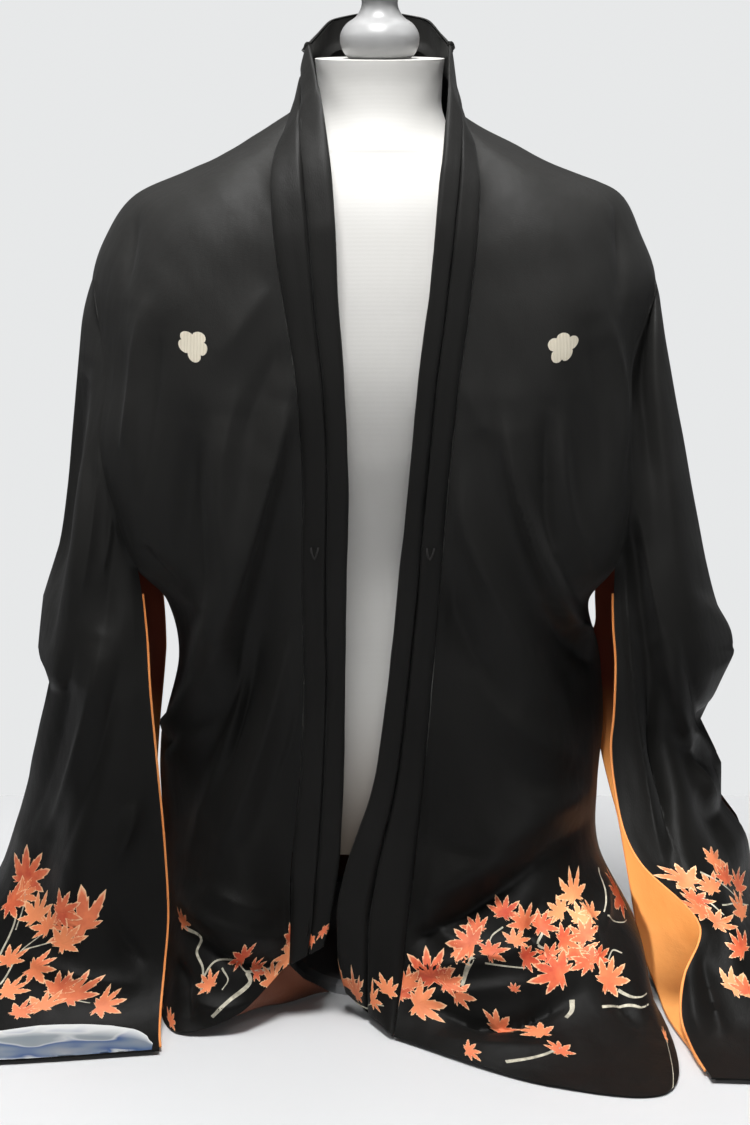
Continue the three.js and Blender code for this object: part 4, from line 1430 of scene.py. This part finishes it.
panels |= {f"sleeve_{side}": panel for side, panel in sleeves.items()}
panels["collar"] = collar
with_pieces = {name: [] for name in cloth}


# Leaves at the back: how many, and within which of the part's rows from the hem and columns
SCATTER = {"body": (26, (0.8, 6.5), (0.8, 7.6)), "sleeve": (12, (1.0, 6.5), (9.6, 13.2))}


def scattered(panel, count, rows, columns):
    """Random places for more leaves, in a band of rows above the hem at the back"""
    for _ in range(count):
        row = len(panel["grid"]) - 1 - rng.uniform(*rows) * FINER
        column = rng.uniform(*columns) * FINER
        yield row, column, rng.uniform(11, 22), rng.uniform(0, 6.3)


for name, panel in panels.items():
    kind = name.split("_")[0]
    leaves, twigs = Pattern(panel), Pattern(panel)
    spots = [
        (*seen_at(panel, x, y, FRONT[kind]), size, math.radians(turn))
        for x, y, size, turn in LEAVES[name]
    ]
    if kind in SCATTER:
        spots += scattered(panel, *SCATTER[kind])
    tones = []
    for row, column, size, turn in spots:
        leaves.leaf(row, column, size * LEAF_SCALE, turn)
        tones += [rng.uniform(0, 0.8) ** 1.4] * (len(LEAF_RINGS) * len(LEAF_EDGE[0]))
    for half_width, *places in TWIGS[name]:
        path = [seen_at(panel, x, y, FRONT[kind]) for x, y in zip(places[::2], places[1::2])]
        sizes = np.linspace(half_width, half_width * 0.6, len(path))
        twigs.ribbon(path, sizes)
    for row, column, size, turn in spots[len(LEAVES[name]) :: 3]:
        end = (row + 2.2 * FINER * math.sin(turn), column + 1.4 * FINER * math.cos(turn))
        middle = (row + FINER * math.sin(turn) + 2, column + 0.7 * FINER * math.cos(turn))
        twigs.ribbon([(row, column), middle, end], [1.2, 1.0, 0.7])
    with_pieces[name] += [
        leaves.made(f"{name}_leaves", leaf, "edge", np.array(tones)),
        twigs.made(f"{name}_twigs", twig, "edge"),
    ]

# The stream along the left sleeve's bottom: its middle line, and its half width in millimetres
STREAM = table("x y half", """
-60 1051 28
-20 1050 29
20 1048 29
60 1047 28
100 1047 28
128 1047 25
144 1048 18
152 1048 8
""")
band = Pattern(sleeves["left"])
band.ribbon(
    [seen_at(sleeves["left"], row["x"], row["y"], FRONT["sleeve"]) for row in STREAM],
    [row["half"] for row in STREAM],
    0.25,
    10,
)
with_pieces["sleeve_left"].append(band.made("stream_band", stream, "line"))

# A plain small stitched blossom on each side of the chest
BLOSSOM_ANGLES = circle(60)
BLOSSOM = (BLOSSOM_ANGLES, 0.72 + 0.28 * np.abs(np.cos(2.5 * BLOSSOM_ANGLES)) ** 0.7)
BLOSSOM_PLACES = {"left": (193, 345), "right": (563, 347)}  # in the picture
BLOSSOM_SIZE = 13
for side, (x, y) in BLOSSOM_PLACES.items():
    flower = Pattern(bodies[side])
    spot = seen_at(bodies[side], x, y, FRONT["body"])
    flower.leaf(*spot, BLOSSOM_SIZE, SIGN[side] * 0.3, BLOSSOM)
    with_pieces[f"body_{side}"].append(flower.made(f"blossom_{side}", motif, "edge"))

# Orange piping that rolls round the sleeves' inner edges below the underarm
PIPING_RADIUS = 1.1
PIPING_SIDES = 8


def tube(name, line, radius, material):
    line = np.asarray(line, float)
    way = unit(np.gradient(line, axis=0))
    side = unit(np.cross(way, [0.0, 1.0, 0.2]))
    up = np.cross(side, way)
    turns = circle(PIPING_SIDES)[:, None]
    points = line[:, None] + radius * (
        side[:, None] * np.cos(turns) + up[:, None] * np.sin(turns)
    )
    count = len(line) * PIPING_SIDES
    number = np.arange(count).reshape(len(line), PIPING_SIDES)
    following = np.roll(number, -1, axis=1)
    faces = np.stack([number[:-1], following[:-1], following[1:], number[1:]], axis=-1)
    faces = faces.reshape(-1, 4).tolist()
    faces += [number[0, ::-1].tolist(), number[-1].tolist()]
    along = np.repeat(np.arange(len(line)) * 4.0, PIPING_SIDES)
    round_it = np.tile(np.arange(PIPING_SIDES) * 1.0, len(line))
    uv = np.stack([round_it, along], axis=-1)
    return add_mesh(name, points.reshape(-1, 3), faces, material, uv)


for side, sleeve in sleeves.items():
    for edge, inward, face in [(0, 1, "front"), (-1, -2, "back")]:
        rows = slice(sleeve["steps"] + FINER, len(sleeve["grid"]) - FINER // 2)
        way = unit(sleeve["grid"][rows, edge] - sleeve["grid"][rows, inward])
        line = sleeve["grid"][rows, edge] + way * PIPING_RADIUS
        line = line - sleeve["normals"][rows, edge] * CLOTH * 0.6
        line[:, 2] = np.maximum(line[:, 2], PIPING_RADIUS + 0.3)
        piping = tube(f"piping_{side}_{face}", line, PIPING_RADIUS, piping_silk)
        with_pieces[f"sleeve_{side}"].append(piping)

# The dress form, smoother than the part's
FORM_SIDES = 96
SEAM_Z, SEAM_DEEP, SEAM_WIDE = 744, 0.7, 2.2  # the groove round the form's neck
FORM_CENTRE_Y = 8


def ring_solid(name, rings, material):
    number = np.arange(rings.shape[0] * rings.shape[1]).reshape(-1, rings.shape[1])
    faces = strips(number) + [number[0].tolist(), number[-1, ::-1].tolist()]
    obj = add_mesh(name, rings.reshape(-1, 3), faces, material)
    obj.data.set_sharp_from_angle(angle=math.radians(50))
    return obj


angles = circle(FORM_SIDES)
controls = []
for row in FORM:
    round_x, round_y = (
        np.sign(v) * np.abs(v) ** (2 / row["power"]) for v in (np.cos(angles), np.sin(angles))
    )
    y = mix(row["yFront"], row["yBack"], 0.5 + 0.5 * round_y)
    z = np.full_like(angles, row["z"])
    controls.append(np.stack([row["halfWidth"] * round_x, y, z], axis=-1))
torso = spline(controls, np.linspace(0, len(FORM) - 1, 12 * (len(FORM) - 1) + 1))
groove = SEAM_DEEP * np.exp(-(((torso[..., 2] - SEAM_Z) / SEAM_WIDE) ** 2))
torso[..., :2] -= unit(torso[..., :2] - [0, FORM_CENTRE_Y]) * groove[..., None]
torso_cover = ring_solid("torso_jersey", torso, jersey)
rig.replaces(torso_cover, "form_torso")
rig.slot(torso_cover, "form_torso")

KNOB_SIDES = 72
profile = spline(
    [[row["radius"], row["z"], 0] for row in KNOB_PROFILE],
    np.linspace(0, len(KNOB_PROFILE) - 1, 8 * (len(KNOB_PROFILE) - 1) + 1),
)[1:-1]
angles = circle(KNOB_SIDES)
radius = np.maximum(profile[:, :1], 0.4)
rings = np.stack(
    [
        radius * np.cos(angles),
        FORM_CENTRE_Y + radius * np.sin(angles),
        np.repeat(NECK_TOP + SEAM + np.maximum(profile[:, 1:2], 0), KNOB_SIDES, axis=1),
    ],
    axis=-1,
)[::-1]
knob = ring_solid("knob_turned", rings, knob_paint)
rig.replaces(knob, "neck_knob")
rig.slot(knob, "neck_knob")

CARRIED_OVER = {
    "stand_pole": metal, "stand_base": metal, "loop_left": loop_silk, "loop_right": loop_silk,
}
for node, material in CARRIED_OVER.items():
    obj = frame["nodes"][node]
    obj.data.materials.clear()
    obj.data.materials.append(material)

for name, made in cloth.items():
    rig.sheet(**made, with_pieces=with_pieces[name])

# Floor, light and camera
TABLE_BACK = 0.5
mesh = bpy.data.meshes.new("floor")
corners = [(-3, -2.6, 0), (3, -2.6, 0), (3, TABLE_BACK, 0), (-3, TABLE_BACK, 0)]
mesh.from_pydata(corners, [], [(0, 1, 2, 3)])
PALE = [(0.3, (0.60, 0.605, 0.612)), (0.7, (0.618, 0.62315, 0.63036))]
mesh.materials.append(mottled("table_top", 3.0, PALE, (0.5, 0.55), 1.0, Specular_IOR_Level=0.3))
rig.stage(placed("floor", mesh))

# Lights: place, what they face, size in metres and power in watts
LIGHTS = {
    "key": [(-0.1, -0.52, 2.2), (0, -0.1, 0.4), 0.6, 52],
    "left_side": [(-1.3, -0.2, 1.8), (0, 0, 0.5), 0.8, 7],
    "right_side": [(1.3, -0.2, 1.8), (0, 0, 0.5), 0.8, 6],
    "overhead": [(0, 0.6, 2.3), (0, 0.3, 0.2), 1.2, 27],
    "front": [(0.15, -2.3, 0.75), (0.1, 0, 0.25), 0.7, 5],
}


def add_light(name, kind, place, target, power, **settings):
    light = bpy.data.lights.new(name, kind)
    light.energy = power
    for key, value in settings.items():
        setattr(light, key, value)
    lamp = placed(name, light)
    lamp.location = place
    lamp.rotation_mode = "QUATERNION"
    lamp.rotation_quaternion = (Vector(target) - Vector(place)).to_track_quat("-Z", "Y")
    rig.stage(lamp)


for name, (place, target, size, power) in LIGHTS.items():
    add_light(name, "AREA", place, target, power, size=size)
# A narrow lamp on the open lining of the right sleeve
add_light(
    "snoot", "SPOT", (-0.15, -2.1, 0.5), (0.262, -0.06, 0.1), 270,
    spot_size=math.radians(8), spot_blend=1.0, shadow_soft_size=0.05,
)

# The room: pale where the camera looks past the table, dim as a light
world = bpy.data.worlds.new("studio")
world.use_nodes = True
room = world.node_tree
dim = room.nodes["Background"]
dim.inputs["Color"].default_value = colour(0.93, 0.95, 1.0)
dim.inputs["Strength"].default_value = 0.04
pale = room.nodes.new("ShaderNodeBackground")
pale.inputs["Color"].default_value = colour(0.80, 0.81, 0.815)
seen = room.nodes.new("ShaderNodeLightPath")
either = room.nodes.new("ShaderNodeMixShader")
room.links.new(seen.outputs["Is Camera Ray"], either.inputs[0])
room.links.new(dim.outputs[0], either.inputs[1])
room.links.new(pale.outputs[0], either.inputs[2])
room.links.new(either.outputs[0], room.nodes["World Output"].inputs["Surface"])
scene.world = world
scene.view_settings.view_transform = "Standard"

camera = bpy.data.cameras.new("camera")
camera.sensor_fit = "AUTO"
camera.sensor_width = 36
camera.lens = FOCAL / PICTURE[1] * camera.sensor_width
camera_object = placed("camera", camera)
camera_object.location = CAMERA / 1000
camera_object.rotation_euler = (math.pi / 2 - PITCH, 0, 0)
scene.camera = camera_object

dressed_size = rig.bounds()
with open("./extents.json", "w") as file:
    sizes = {"cad": cad_size, "dressed": dressed_size}
    boxes = {key: [list(map(float, corner)) for corner in box] for key, box in sizes.items()}
    json.dump(boxes, file)
